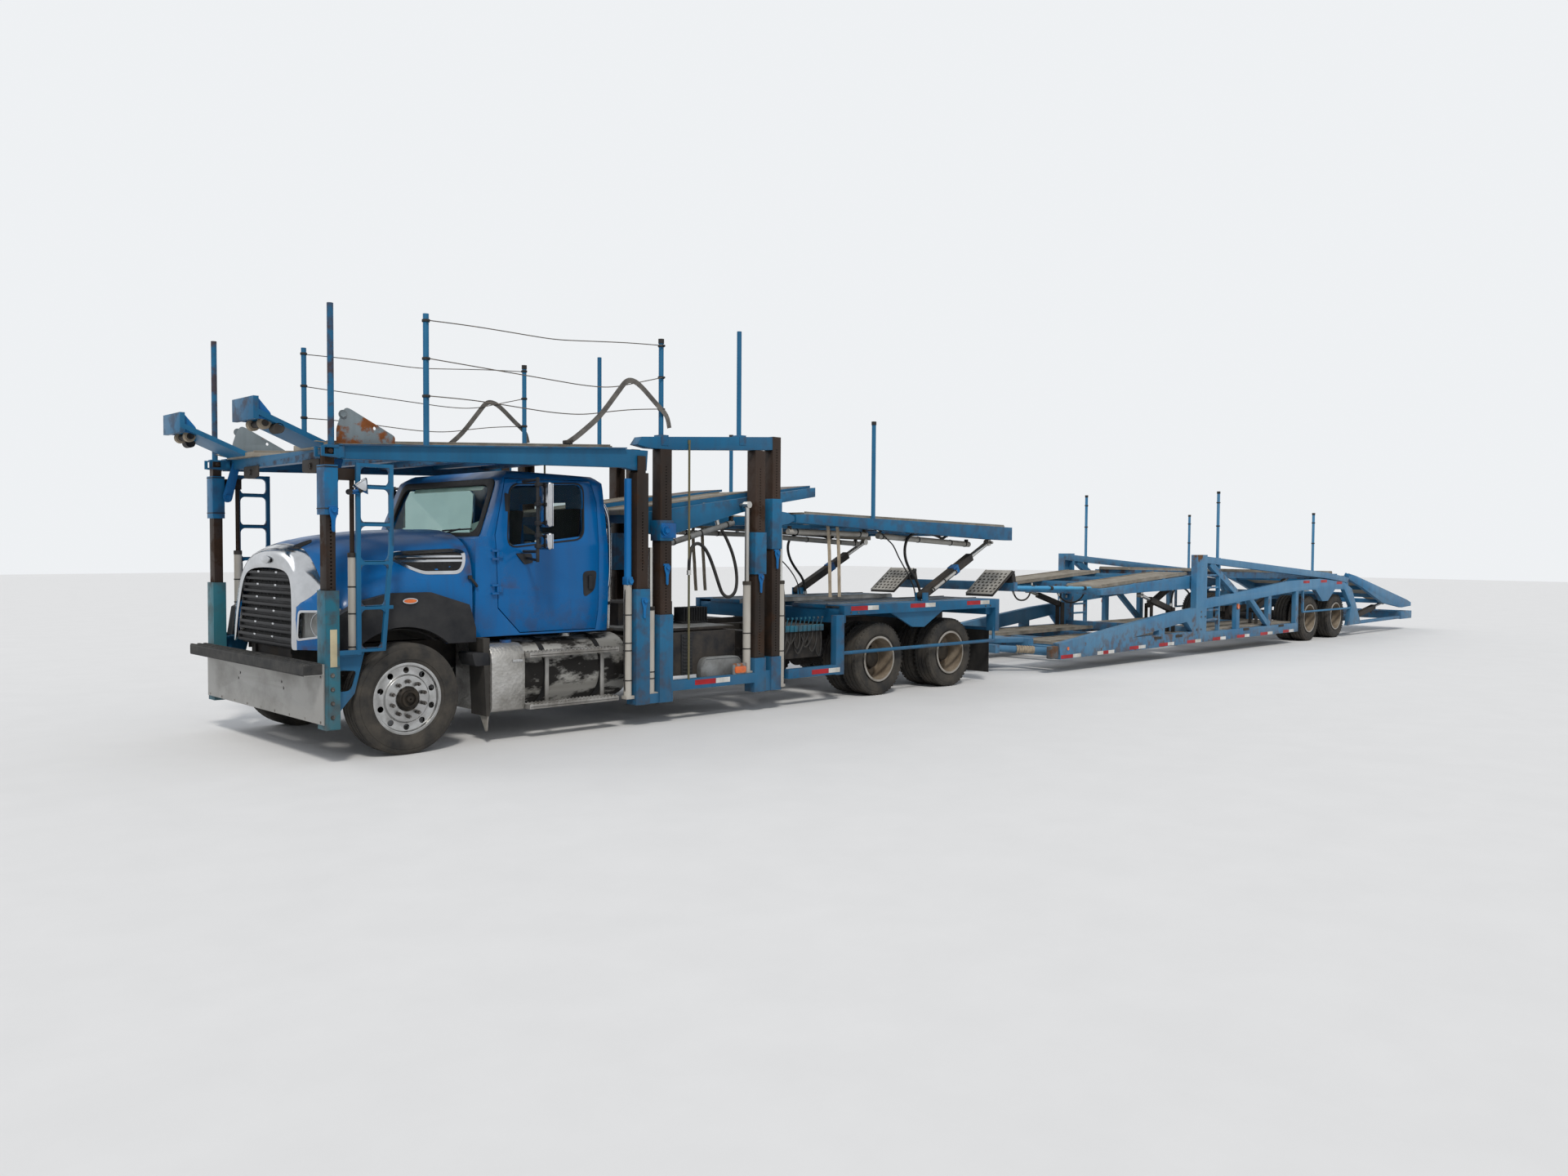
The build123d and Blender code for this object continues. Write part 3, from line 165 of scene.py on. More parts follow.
# scales and strengths of the wear that all the paints share
wear = {"fadeScale": 0.7, "streakScale": 3.0, "streakStretch": (3.0, 3.0, 0.25), "streakAmount": 0.45,
        "patchScale": 2.3, "chipScale": 7, "chipAmount": 0.8, "rustScale": 14, "grimeScale": 4,
        "dust": (0.2, 0.18, 0.15), "grainScale": 60, "specular": 0.2, "coatRoughness": 0.12, "bump": 0.35}


def weatheredPaint(name, paint, faded, rust=(0.1, 0.045, 0.02), rustFrom=0.66, dustAmount=0.35,
                   roughness=(0.4, 0.75), coat=0.0):
    material, tree, shader, spot = newMaterial(name)
    broad = ramp(tree, noise(tree, spot, wear["fadeScale"], 5), 0.38, 0.62)
    streaks = ramp(tree, noise(tree, spot, wear["streakScale"], 8, 0.65, wear["streakStretch"]), 0.45, 0.75)
    dull = tuple(channel * 0.55 + 0.02 for channel in paint)
    colour = blendColour(tree, broad, paint, faded)
    colour = blendColour(tree, combine(tree, "MULTIPLY", streaks, wear["streakAmount"]), colour, dull)
    geometry = addNode(tree, "NewGeometry", {})
    edge = ramp(tree, geometry.outputs["Pointiness"], 0.53, 0.6)
    patches = ramp(tree, noise(tree, spot, wear["patchScale"], 12, 0.68), rustFrom, rustFrom + 0.05)
    worn = combine(tree, "MULTIPLY", edge, ramp(tree, noise(tree, spot, wear["chipScale"], 8), 0.45, 0.6))
    rusty = combine(tree, "MAXIMUM", patches, combine(tree, "MULTIPLY", worn, wear["chipAmount"]))
    darkRust = tuple(channel * 0.35 for channel in rust)
    rustTone = blendColour(tree, noise(tree, spot, wear["rustScale"], 8), rust, darkRust)
    colour = blendColour(tree, rusty, colour, rustTone)
    normal = addNode(tree, "SeparateXYZ", {0: geometry.outputs["Normal"]})
    height = addNode(tree, "SeparateXYZ", {0: spot})
    facingUp, low = ramp(tree, normal.outputs["Z"], 0.2, 0.95), ramp(tree, height.outputs["Z"], 1.0, 0.15)
    grime = ramp(tree, noise(tree, spot, wear["grimeScale"], 8), 0.3, 0.7)
    grime = combine(tree, "MULTIPLY", combine(tree, "MAXIMUM", facingUp, low), grime)
    colour = blendColour(tree, combine(tree, "MULTIPLY", grime, dustAmount), colour, wear["dust"])
    roughen(tree, shader, combine(tree, "MAXIMUM", rusty, grime), *roughness)
    feed(tree, shader, {"Base Color": colour, "Specular IOR Level": wear["specular"], "Coat Weight": coat,
                        "Coat Roughness": wear["coatRoughness"]})
    grain = noise(tree, spot, wear["grainScale"], 4)
    addBump(tree, shader, combine(tree, "MULTIPLY", grain, combine(tree, "ADD", rusty, 0.15)), wear["bump"],
            0.002)
    return material


def plainFinish(name, first, second, roughness=0.5, metallic=0.0, scale=6.0, stretch=None, low=0.35,
                high=0.65, bump=0.15, bumpScale=80.0, coat=0.0, roughTo=None):
    material, tree, shader, spot = newMaterial(name)
    mottle = ramp(tree, noise(tree, spot, scale, 8, 0.62, stretch), low, high)
    feed(tree, shader, {"Base Color": blendColour(tree, mottle, first, second), "Metallic": metallic,
                        "Specular IOR Level": 0.25, "Coat Weight": coat})
    roughen(tree, shader, mottle, roughness, roughTo or min(1.0, roughness + 0.15))
    addBump(tree, shader, noise(tree, spot, bumpScale, 4), bump, 0.001)
    return material


def glassFinish(name, tint, roughness=0.03):
    material, tree, shader, spot = newMaterial(name)
    smear = ramp(tree, noise(tree, spot, 3), 0.4, 0.8)
    smeared = tuple(min(1, channel + 0.05) for channel in tint)
    feed(tree, shader, {"Base Color": blendColour(tree, smear, tint, smeared), "Transmission Weight": 1.0,
                        "IOR": 1.1})
    roughen(tree, shader, smear, roughness, roughness + 0.1)
    return material


cabPaint = weatheredPaint("cabPaint", (0.0, 0.1, 0.31), (0.001, 0.125, 0.36), rustFrom=0.95,
                          dustAmount=0.07, roughness=(0.25, 0.5), coat=0.12)
rackPaint = weatheredPaint("rackPaint", (0.006, 0.095, 0.205), (0.016, 0.13, 0.26), rustFrom=0.66,
                           dustAmount=0.22)
trailerPaint = weatheredPaint("trailerPaint", (0.02, 0.15, 0.31), (0.075, 0.21, 0.35),
                              rust=(0.16, 0.08, 0.035), rustFrom=0.62, dustAmount=0.28)
rustyPost = weatheredPaint("rustyPost", (0.02, 0.014, 0.011), (0.045, 0.028, 0.02),
                           rust=(0.05, 0.026, 0.015), rustFrom=0.56, dustAmount=0.18,
                           roughness=(0.55, 0.85))
slideBlue = weatheredPaint("slideBlue", (0.04, 0.3, 0.56), (0.09, 0.37, 0.6), rustFrom=0.75, dustAmount=0.2)
treadSteel = plainFinish("treadSteel", (0.21, 0.18, 0.14), (0.36, 0.33, 0.28), 0.55, 0.35, 5.0, bump=0.4,
                         roughTo=0.85)
darkSteel = plainFinish("darkSteel", (0.018, 0.018, 0.02), (0.07, 0.06, 0.05), 0.55, 0.2, 4.0, bump=0.3,
                        roughTo=0.85)
cylinderPaint = plainFinish("cylinderPaint", (0.42, 0.4, 0.36), (0.24, 0.215, 0.18), 0.45, 0.0, 3.0,
                            (1, 1, 0.3), low=0.45, high=0.8, bump=0.15)
rodSteel = plainFinish("rodSteel", (0.6, 0.6, 0.58), (0.4, 0.38, 0.35), 0.22, 0.9, 4.0, (1, 1, 0.3),
                       bump=0.05)
chromeSteel = plainFinish("chromeSteel", (0.6, 0.61, 0.63), (0.45, 0.46, 0.47), 0.08, 1.0, 3.0, bump=0.02,
                          roughTo=0.2)
polishedAlloy = plainFinish("polishedAlloy", (0.5, 0.5, 0.5), (0.34, 0.34, 0.33), 0.2, 0.95, 7.0, bump=0.06,
                            roughTo=0.42)
dirtyAlloy = plainFinish("dirtyAlloy", (0.45, 0.44, 0.42), (0.18, 0.17, 0.155), 0.38, 0.75, 3.5,
                         (1, 1, 0.45), bump=0.12, roughTo=0.65)
steelRim = plainFinish("steelRim", (0.4, 0.38, 0.35), (0.24, 0.22, 0.19), 0.5, 0.3, 5.0, bump=0.2,
                       roughTo=0.8)
tyreRubber = plainFinish("tyreRubber", (0.022, 0.022, 0.022), (0.07, 0.062, 0.052), 0.72, 0.0, 5.0,
                         bump=0.4, roughTo=0.92)
blackPlastic = plainFinish("blackPlastic", (0.012, 0.013, 0.016), (0.035, 0.035, 0.036), 0.48, 0.0, 4.0,
                           bump=0.25, roughTo=0.7)
flapRubber = plainFinish("flapRubber", (0.014, 0.014, 0.015), (0.06, 0.055, 0.048), 0.7, 0.0, 2.5,
                         (1, 1, 0.4), bump=0.25)
interiorTrim = plainFinish("interiorTrim", (0.04, 0.042, 0.045), (0.075, 0.075, 0.078), 0.75, 0.0, 9.0,
                           bump=0.5, bumpScale=220)
engineBlock = plainFinish("engineBlock", (0.03, 0.03, 0.032), (0.1, 0.09, 0.08), 0.6, 0.3, 3.0)
sleeveBlue = weatheredPaint("sleeveBlue", (0.004, 0.12, 0.28), (0.014, 0.16, 0.33), rustFrom=0.7,
                            dustAmount=0.2)
brightBlue = weatheredPaint("brightBlue", (0.002, 0.11, 0.33), (0.008, 0.15, 0.38), rustFrom=0.78,
                            dustAmount=0.15)
tealPost = weatheredPaint("tealPost", (0.012, 0.11, 0.17), (0.03, 0.14, 0.17), rustFrom=0.62)
bumperSteel = plainFinish("bumperSteel", (0.34, 0.335, 0.32), (0.24, 0.235, 0.22), 0.42, 0.35, 1.6,
                          (1, 1, 1.3), low=0.5, high=0.72, bump=0.08, roughTo=0.6)
stepRubber = plainFinish("stepRubber", (0.02, 0.021, 0.022), (0.06, 0.058, 0.055), 0.7, 0.0, 9.0, bump=0.5,
                         bumpScale=120)
tanTape = plainFinish("tanTape", (0.5, 0.43, 0.28), (0.38, 0.33, 0.22), 0.6, 0.0, 7.0)
bandBlack = plainFinish("bandBlack", (0.012, 0.012, 0.013), (0.04, 0.038, 0.036), 0.55, 0.0, 9.0)
wireSteel = plainFinish("wireSteel", (0.1, 0.1, 0.1), (0.2, 0.17, 0.14), 0.5, 0.6, 20.0)
greyRust = weatheredPaint("greyRust", (0.16, 0.2, 0.22), (0.22, 0.26, 0.28), rust=(0.3, 0.1, 0.03),
                          rustFrom=0.55)
webbing = plainFinish("webbing", (0.16, 0.15, 0.135), (0.09, 0.085, 0.08), 0.85, 0.0, 14.0, bump=0.6,
                      bumpScale=320)
tanWebbing = plainFinish("tanWebbing", (0.4, 0.33, 0.24), (0.24, 0.2, 0.15), 0.85, 0.0, 14.0, bump=0.6,
                         bumpScale=320)
greySteel = plainFinish("greySteel", (0.27, 0.28, 0.28), (0.15, 0.15, 0.145), 0.5, 0.4, 4.0, bump=0.25,
                        roughTo=0.75)
redTape = plainFinish("redTape", (0.42, 0.012, 0.02), (0.26, 0.012, 0.016), 0.35, 0.0, 5.0, bump=0.2,
                      bumpScale=420)
whiteTape = plainFinish("whiteTape", (0.68, 0.68, 0.66), (0.42, 0.41, 0.37), 0.35, 0.0, 5.0, bump=0.2,
                        bumpScale=420)
hoseRubber = plainFinish("hoseRubber", (0.014, 0.014, 0.015), (0.045, 0.042, 0.038), 0.55, 0.0, 9.0,
                         bump=0.3, bumpScale=240)
bronzeGreen = plainFinish("bronzeGreen", (0.09, 0.11, 0.07), (0.16, 0.13, 0.07), 0.5, 0.4, 5.0, (1, 1, 0.3))
redGlass = plainFinish("redGlass", (0.16, 0.008, 0.01), (0.1, 0.006, 0.008), 0.18, 0.0, 9.0, coat=0.6)
rampSteel = plainFinish("rampSteel", (0.4, 0.385, 0.35), (0.27, 0.255, 0.23), 0.55, 0.2, 5.0, bump=0.3,
                        roughTo=0.8)
rustBrown = weatheredPaint("rustBrown", (0.06, 0.09, 0.12), (0.09, 0.09, 0.09), rust=(0.13, 0.06, 0.03),
                           rustFrom=0.47)

print("materials made")


# the CAD nodes, with softened edges

def applied(piece, kind, **values):
    modifier = piece.modifiers.new(kind, kind)
    for key, value in values.items():
        setattr(modifier, key, value)
    bpy.ops.object.modifier_apply(modifier=kind)
    return piece


def softened(piece, width):
    return applied(piece, "BEVEL", width=width, segments=2, limit_method="ANGLE",
                   angle_limit=math.radians(35))


def paintAll(piece, material):
    piece.data.materials.clear()
    piece.data.materials.append(material)


def editCopy(node, name, material=None):
    # a copy of a CAD node, its loose triangles merged, left in edit mode
    piece = bpy.data.objects.new(name, frame["nodes"][node].data.copy())
    bpy.context.scene.collection.objects.link(piece)
    if material:
        paintAll(piece, material)
    selectOnly(piece)
    editAll()
    bpy.ops.mesh.remove_doubles(threshold=0.00002)
    bpy.ops.mesh.dissolve_limited(angle_limit=math.radians(0.8))
    return piece


def dressNode(node, material, width):
    piece = editCopy(node, node + "Dressed", material)
    leaveEdit()
    softened(piece, width)
    bpy.ops.object.shade_smooth_by_angle(angle=math.radians(32))
    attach(piece, frame["nodes"][node]["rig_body"])
    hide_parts(node)
    return piece


def coat(material, *nodes):
    for node in nodes:
        paintAll(frame["nodes"][node], material)


sides = (("left", 1), ("right", -1))
axleNames = ("front", "drive_front", "drive_rear", "trailer_front", "trailer_rear")
wheelNodes = [axle + "_wheel_" + name for axle in axleNames for name, side in sides]
doorInnerFace = 1.061   # metres: what lies outside it on a door is replaced by fittings
dressing = {
    "cab_shell": (cabPaint, 0.012), "door_left": (cabPaint, 0.004), "door_right": (cabPaint, 0.004),
    "front_posts": (rackPaint, 0.003), "front_lift_posts": (rustyPost, 0.003),
    "head_rack": (rackPaint, 0.003), "rack_posts": (rustyPost, 0.003), "post_sockets": (rackPaint, 0.004),
    "top_rails": (rackPaint, 0.004), "mid_deck": (rackPaint, 0.003), "rear_deck": (rackPaint, 0.003),
    "tandem_deck": (rackPaint, 0.003), "front_bumper": (bumperSteel, 0.002),
    "lift_barrels": (cylinderPaint, 0.002), "trailer_sides": (trailerPaint, 0.004),
    "trailer_frame": (trailerPaint, 0.004), "trailer_spine": (trailerPaint, 0.004),
    "trailer_front_deck": (trailerPaint, 0.003), "trailer_back_deck": (trailerPaint, 0.003),
    "rear_ramp": (trailerPaint, 0.003), "fender_flares": (blackPlastic, 0.012), }
dressed = {}
for node, (material, width) in dressing.items():
    piece = dressed[node] = dressNode(node, material, width)
    if node.startswith("door"):
        side = 1 if node.endswith("left") else -1
        selectOnly(piece)
        editAll()
        bpy.ops.mesh.bisect(plane_co=(0, side * doorInnerFace, 0), plane_no=(0, side, 0), use_fill=True,
                            clear_outer=True)
        leaveEdit()
coat(darkSteel, "tractor_frame", "axles", "knuckle_left", "knuckle_right", "trailer_axles", "deck_brackets",
     "ramp_brackets")
coat(engineBlock, "engine")
coat(interiorTrim, "cab_interior")
coat(treadSteel, "trailer_treads")
coat(flapRubber, "mud_flaps")
coat(darkSteel, "rear_leg_barrels", "front_deck_barrels", "back_deck_barrels", "ramp_barrels")
coat(rodSteel, "mid_lift_rods", "rear_leg_rods", "front_deck_rods", "back_deck_rods", "ramp_rods")
coat(tyreRubber, *wheelNodes)
print("CAD nodes dressed")


# ways of making shapes; sizes are in millimetres from the front axle

def addBlock(x, y, z, soften=4, segments=2):
    lowest, highest = at(min(x), min(y), min(z)), at(max(x), max(y), max(z))
    clearSelection()
    bpy.ops.mesh.primitive_cube_add(size=1, location=(lowest + highest) / 2)
    piece = bpy.context.object
    piece.scale = highest - lowest
    bpy.ops.object.transform_apply(location=True, rotation=True, scale=True)
    if soften:
        editAll()
        bpy.ops.mesh.bevel(offset=soften / 1000, segments=segments, affect="EDGES")
        leaveEdit()
    return piece


def addTube(start, end, radius, sides=20, soften=2.0):
    first, last = at(*start), at(*end)
    way = last - first
    clearSelection()
    bpy.ops.mesh.primitive_cone_add(vertices=sides, radius1=radius / 1000, radius2=radius / 1000,
                                    depth=way.length, location=(first + last) / 2,
                                    rotation=way.to_track_quat("Z", "Y").to_euler())
    piece = bpy.context.object
    bpy.ops.object.transform_apply(location=True, rotation=True, scale=True)
    if soften:
        editFaces(piece, lambda face: len(face.vertices) > 4)
        bpy.ops.mesh.inset(thickness=soften / 1000)
        bpy.ops.mesh.extrude_region_move(TRANSFORM_OT_translate={"value": (0, 0, 0)})
        bpy.ops.mesh.inset(thickness=soften / 1000, depth=-soften / 2000)
        leaveEdit()
    return piece


def roundedOutline(corners, reach, steps=4):
    # each corner becomes a curve that starts and ends a reach away from it
    points = []
    for index, corner in enumerate(corners):
        toBefore, toAfter = corners[index - 1] - corner, corners[(index + 1) % len(corners)] - corner
        start = corner + toBefore.normalized() * min(reach, toBefore.length * 0.45)
        finish = corner + toAfter.normalized() * min(reach, toAfter.length * 0.45)
        for step in range(steps + 1):
            t = step / steps
            points.append(start * (1 - t) ** 2 + corner * 2 * t * (1 - t) + finish * t ** 2)
    return points


def addOutline(points, fill="NOTHING"):
    clearSelection()
    bpy.ops.mesh.primitive_circle_add(vertices=len(points), radius=1, fill_type=fill)
    piece = bpy.context.object
    for vertex, point in zip(piece.data.vertices, points):
        vertex.co = point
    return piece


def thickened(piece, offset):
    # all of the piece, which is in edit mode, extruded by an offset in metres
    bpy.ops.mesh.select_all(action="SELECT")
    bpy.ops.mesh.extrude_region_move(TRANSFORM_OT_translate={"value": offset})
    bpy.ops.mesh.select_all(action="SELECT")
    bpy.ops.mesh.normals_make_consistent(inside=False)
    leaveEdit()
    return piece


def addPlate(points, offset):
    piece = addOutline(points, "NGON")
    editAll()
    return thickened(piece, offset)


def addRing(outer, inner, offset):
    # two outlines with as many points, bridged and extruded
    first, piece = addOutline(inner), addOutline(outer)
    first.select_set(True)
    bpy.ops.object.join()
    editAll()
    bpy.ops.mesh.bridge_edge_loops()
    return thickened(piece, offset)


def addSpun(profile, centre, steps, axis=(0, 1, 0)):
    # the profile is (along, radius) in millimetres, turned about a line through the centre
    along = Vector(axis).normalized()
    across = Vector((0, 0, 1)) if abs(along.z) < 0.9 else Vector((1, 0, 0))
    piece = addOutline([centre + along * reach / 1000 + across * radius / 1000
                        for reach, radius in profile])
    editAll()
    bpy.ops.mesh.spin(steps=steps, angle=math.tau, center=centre, axis=along)
    bpy.ops.mesh.select_all(action="SELECT")
    bpy.ops.mesh.remove_doubles(threshold=0.00005)
    bpy.ops.mesh.normals_make_consistent(inside=False)
    leaveEdit()
    return piece


def smoothLine(route, steps):
    # one smooth line near its route points, as a curve object
    curve = bpy.data.curves.new("line", "CURVE")
    curve.dimensions = "3D"
    curve.resolution_u = steps
    spline = curve.splines.new("NURBS")
    spline.points.add(len(route) - 1)
    for point, place in zip(spline.points, route):
        point.co = (*at(*place), 1)
    spline.order_u = 3
    spline.use_endpoint_u = True
    line = bpy.data.objects.new("line", curve)
    bpy.context.scene.collection.objects.link(line)
    return line


def addHose(route, radius, sides=8):
    clearSelection()
    piece = smoothLine(route, 6)
    piece.data.bevel_depth = radius / 1000
    piece.data.bevel_resolution = sides // 4
    piece.data.use_fill_caps = True
    selectOnly(piece)
    bpy.ops.object.convert(target="MESH")
    return bpy.context.object


def joined(pieces):
    clearSelection()
    for piece in pieces:
        piece.select_set(True)
    bpy.context.view_layer.objects.active = pieces[0]
    if len(pieces) > 1:
        bpy.ops.object.join()
    return bpy.context.object


def cutAway(piece, tool, operation="DIFFERENCE"):
    selectOnly(piece)
    applied(piece, "BOOLEAN", object=tool, operation=operation, solver="EXACT")
    bpy.data.objects.remove(tool)
    return piece


def movedCopy(piece, move):
    twin = piece.copy()
    twin.data = piece.data.copy()
    bpy.context.scene.collection.objects.link(twin)
    twin.data.transform(move)
    return twin


def mirrored(piece):
    # the same shape on the other side, with its faces turned the right way again
    twin = movedCopy(piece, Matrix.Scale(-1, 4, (0, 1, 0)))
    twin.data.flip_normals()
    return twin


def stamped(piece, steps):
    # copies of a piece moved by steps in millimetres, in place of the first one
    copies = [movedCopy(piece, Matrix.Translation(Vector(step) / 1000)) for step in steps]
    bpy.data.objects.remove(piece)
    return copies


def setIn(pieces, name, body, material, soften=0, smooth=32, slot=None, replaces=()):
    # the finished piece: joined, edges softened, painted and set on its body
    piece = joined(pieces if isinstance(pieces, list) else [pieces])
    piece.name = piece.data.name = name
    if soften:
        softened(piece, soften / 1000)
    paintAll(piece, material)
    for face in piece.data.polygons:
        face.material_index = 0
    bpy.ops.object.shade_smooth_by_angle(angle=math.radians(smooth))
    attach(piece, body)
    if replaces:
        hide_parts(*replaces)
    return piece


def bothSides(pieces):
    return pieces + [mirrored(piece) for piece in pieces]


def setBoth(pieces, *place, **finish):
    return setIn(pieces + [mirrored(piece) for piece in pieces], *place, **finish)


def paintWhere(piece, material, test):
    piece.data.materials.append(material)
    index = len(piece.data.materials) - 1
    for face in piece.data.polygons:
        if test(face.center, [piece.data.vertices[corner].co for corner in face.vertices]):
            face.material_index = index


def smoothPrism(corners, axis, span, reach=40):
    # an outline carried along one axis, with its corners rounded
    index = "XYZ".index(axis)
    flat = [at(*corner[:index], span[0], *corner[index:]) for corner in corners]
    offset = [0, 0, 0]
    offset[index] = (span[1] - span[0]) / 1000
    return addPlate(roundedOutline(flat, reach / 1000) if reach else flat, tuple(offset))


def sidePrism(corners, y):
    return smoothPrism(corners, "Y", y, 0)


def arc(across, tall, steps, middle, whole=False):
    # points of a half or whole ellipse, anticlockwise from its right end
    turn = math.tau if whole else math.pi
    return [(middle[0] + across * math.cos(t / steps * turn), middle[1] + tall * math.sin(t / steps * turn))
            for t in range(steps if whole else steps + 1)]


def finish(name):
    return bpy.data.materials[name]


# wheels: the rims come from the CAD, the tyres, nuts and hubs are modelled

def looseParts(node):
    editCopy(node, node + "Part")
    bpy.ops.mesh.separate(type="LOOSE")
    leaveEdit()
    return list(bpy.context.selected_objects)


def tyreProfile(outer, seat, width, groovePlaces):
    half = width / 2
    side = [(half - 24, seat), (half - 20, seat + 16), (half - 12, seat + 30), (half - 12, seat + 34),
            (half - 6, seat + 38), (half - 1, seat + (outer - seat) * 0.42),
            (half, seat + (outer - seat) * 0.5), (half - 1, seat + (outer - seat) * 0.6),
            (half - 5, outer - 46), (half - 9, outer - 44), (half - 9, outer - 34), (half - 14, outer - 16),
            (half - 24, outer - 3), (half - 34, outer)]
    tread = []
    for place in groovePlaces:
        tread += [(place + 7, outer), (place + 4, outer - 13), (place - 4, outer - 13), (place - 7, outer)]
    return side + tread + [(-along, radius) for along, radius in reversed(side)]


wheelDetail = {"steps": 56, "frontOuter": 455, "frontSeat": 286, "frontWidth": 260, "dualOuter": 420,
               "dualSeat": 251, "dualWidth": 245, "nuts": 10, "nutCircle": 143, "dualSpacing": 140,
               "shoulderBlocks": 48}


def nutRing(face, circle, length):
    nuts = []
    for count in range(wheelDetail["nuts"]):
        turn = math.radians(18 + 360 / wheelDetail["nuts"] * count)
        x, z = circle * math.cos(turn) - frontAxle, circle * math.sin(turn)
        nuts += [addTube((x, face, z), (x, face + length * 0.6, z), 17, 6, 2),
                 addTube((x, face, z), (x, face + length, z), 10, 8, 1.5)]
    return nuts


def shoulderBlocks(outer, width, offset):
    count, y = wheelDetail["shoulderBlocks"], width / 2 + offset
    block = addBlock((-13 - frontAxle, 13 - frontAxle), (y - 40, y - 8), (outer - 14, outer - 4), 0)
    blocks = [movedCopy(block, Matrix.Rotation(math.tau * step / count, 4, "Y")) for step in range(count)]
    bpy.data.objects.remove(block)
    return blocks


def buildWheels():
    d = wheelDetail
    hubDark = plainFinish("hubDark", (0.012, 0.011, 0.01), (0.05, 0.04, 0.03), 0.42, 0.4, 9.0, bump=0.3,
                          roughTo=0.7)
    nutSteel = plainFinish("nutSteel", (0.2, 0.19, 0.18), (0.06, 0.05, 0.045), 0.4, 0.8, 20.0)
    dishTan = plainFinish("dishTan", (0.3, 0.25, 0.19), (0.15, 0.115, 0.08), 0.65, 0.1, 5.0, bump=0.3,
                          roughTo=0.9)
    zero = Vector((0, 0, 0))
    frontTyre = addSpun(tyreProfile(d["frontOuter"], d["frontSeat"], d["frontWidth"], (78, 27, -27, -78)),
                        zero, d["steps"])
    dualTyre = addSpun(tyreProfile(d["dualOuter"], d["dualSeat"], d["dualWidth"], (60, 0, -60)), zero,
                       d["steps"])
    dualTyre = joined([dualTyre] + shoulderBlocks(d["dualOuter"], d["dualWidth"], 0) +
                      shoulderBlocks(d["dualOuter"], d["dualWidth"], -d["dualWidth"] + 48))
    frontNuts = joined(nutRing(110, d["nutCircle"], 46))
    dualNuts = joined(nutRing(18, d["nutCircle"] + 12, 42))
    capRings = joined([addSpun([(150, 70), (156, 66), (156, 52), (150, 48)], zero, 32),
                       addSpun([(150, 30), (158, 26), (160, 8), (150, 4)], zero, 24)])
    for node in wheelNodes:
        lowest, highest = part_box(node)
        middle = (lowest + highest) / 2
        side = 1 if middle.y > 0 else -1
        isFront = node.startswith("front")
        turned = Matrix.Translation(middle) @ (Matrix.Identity(4) if side > 0
                                               else Matrix.Rotation(math.pi, 4, "Z"))
        for part in looseParts(node):
            reach = max(max(abs(v.co.x - middle.x), abs(v.co.z - middle.z)) for v in part.data.vertices)
            if reach > (0.35 if isFront else 0.32):
                bpy.data.objects.remove(part)
            else:
                rim = part
        rimPiece = setIn(rim, node + "Rim", node, polishedAlloy if isFront else steelRim, 1.5,
                         replaces=(node,), slot="aluminium" if isFront else "dual_wheel")
        hubReach = 0.105 if isFront else 0.124

        def widest(corners):
            return max(math.hypot(corner.x - middle.x, corner.z - middle.z) for corner in corners)

        def isHub(spot, corners):
            return widest(corners) < hubReach and (spot.y - middle.y) * side > (0.11 if isFront else 0.02)

        def isDish(spot, corners):
            return hubReach < widest(corners) < 0.24 and (spot.y - middle.y) * side > -0.02

        if not isFront:
            paintWhere(rimPiece, dishTan, isDish)
        paintWhere(rimPiece, hubDark, isHub)
        offsets = (0,) if isFront else (-d["dualSpacing"], d["dualSpacing"])
        tyres = [movedCopy(frontTyre if isFront else dualTyre,
                           turned @ Matrix.Translation((0, offset / 1000, 0))) for offset in offsets]
        setIn(tyres, node + "Tyres", node, tyreRubber, slot=None if isFront else "dual_wheel",
              replaces=(node,))
        setIn(movedCopy(frontNuts if isFront else dualNuts, turned), node + "Nuts", node, nutSteel)
        setIn(movedCopy(capRings, turned), node + "Cap", node, hubDark)
    for spare in (frontTyre, dualTyre, frontNuts, dualNuts, capRings):
        bpy.data.objects.remove(spare)


buildWheels()
print("wheels built")


# hood: one smooth skin, parted into paint, chrome, lamps, vents and scoops

# rows run from the cab to the grille, each from the middle of the top down to the lower edge
hoodRows = [
    [(-660, 0, 1848), (-660, 600, 1838), (-660, 900, 1728), (-660, 1030, 1560), (-660, 1034, 1200),
     (-660, 1034, 862)],
    [(-150, 0, 1838), (-150, 520, 1824), (-150, 800, 1672), (-150, 1036, 1430), (-150, 1040, 1150),
     (-150, 1040, 862)],
    [(330, 0, 1775), (330, 450, 1758), (330, 690, 1575), (330, 1034, 1290), (330, 1040, 1080),
     (330, 1040, 862)],
    [(540, 0, 1712), (535, 420, 1694), (530, 660, 1510), (480, 990, 1225), (475, 1020, 1050),
     (475, 1020, 862)],
    [(630, 0, 1668), (630, 415, 1648), (630, 640, 1465), (610, 850, 1215), (605, 895, 1060),
     (605, 895, 862)],
    [(668, 0, 1628), (668, 420, 1608), (672, 605, 1440), (696, 640, 1200), (706, 655, 1040),
     (712, 660, 862)],
    [(664, 0, 1512), (668, 400, 1500), (676, 520, 1400), (692, 565, 1180), (702, 590, 1040),
     (712, 600, 848)],
]
hoodDetail = {"skin": 18, "chromeLift": 2.5, "archRadius": 592, "linerRadius": 562, "wheelZ": 455,
              "bars": 6, "barPitch": 106, "barHeight": 76, "firstBar": 868}


def patchOf(skin, tool, lift=0.0):
    # the part of a skin inside a prism, swollen a little so that it stands on the skin
    patch = cutAway(movedCopy(skin, Matrix.Identity(4)), tool, "INTERSECT")
    if lift:
        editAll()
        bpy.ops.transform.shrink_fatten(value=lift / 1000)
        leaveEdit()
    return patch


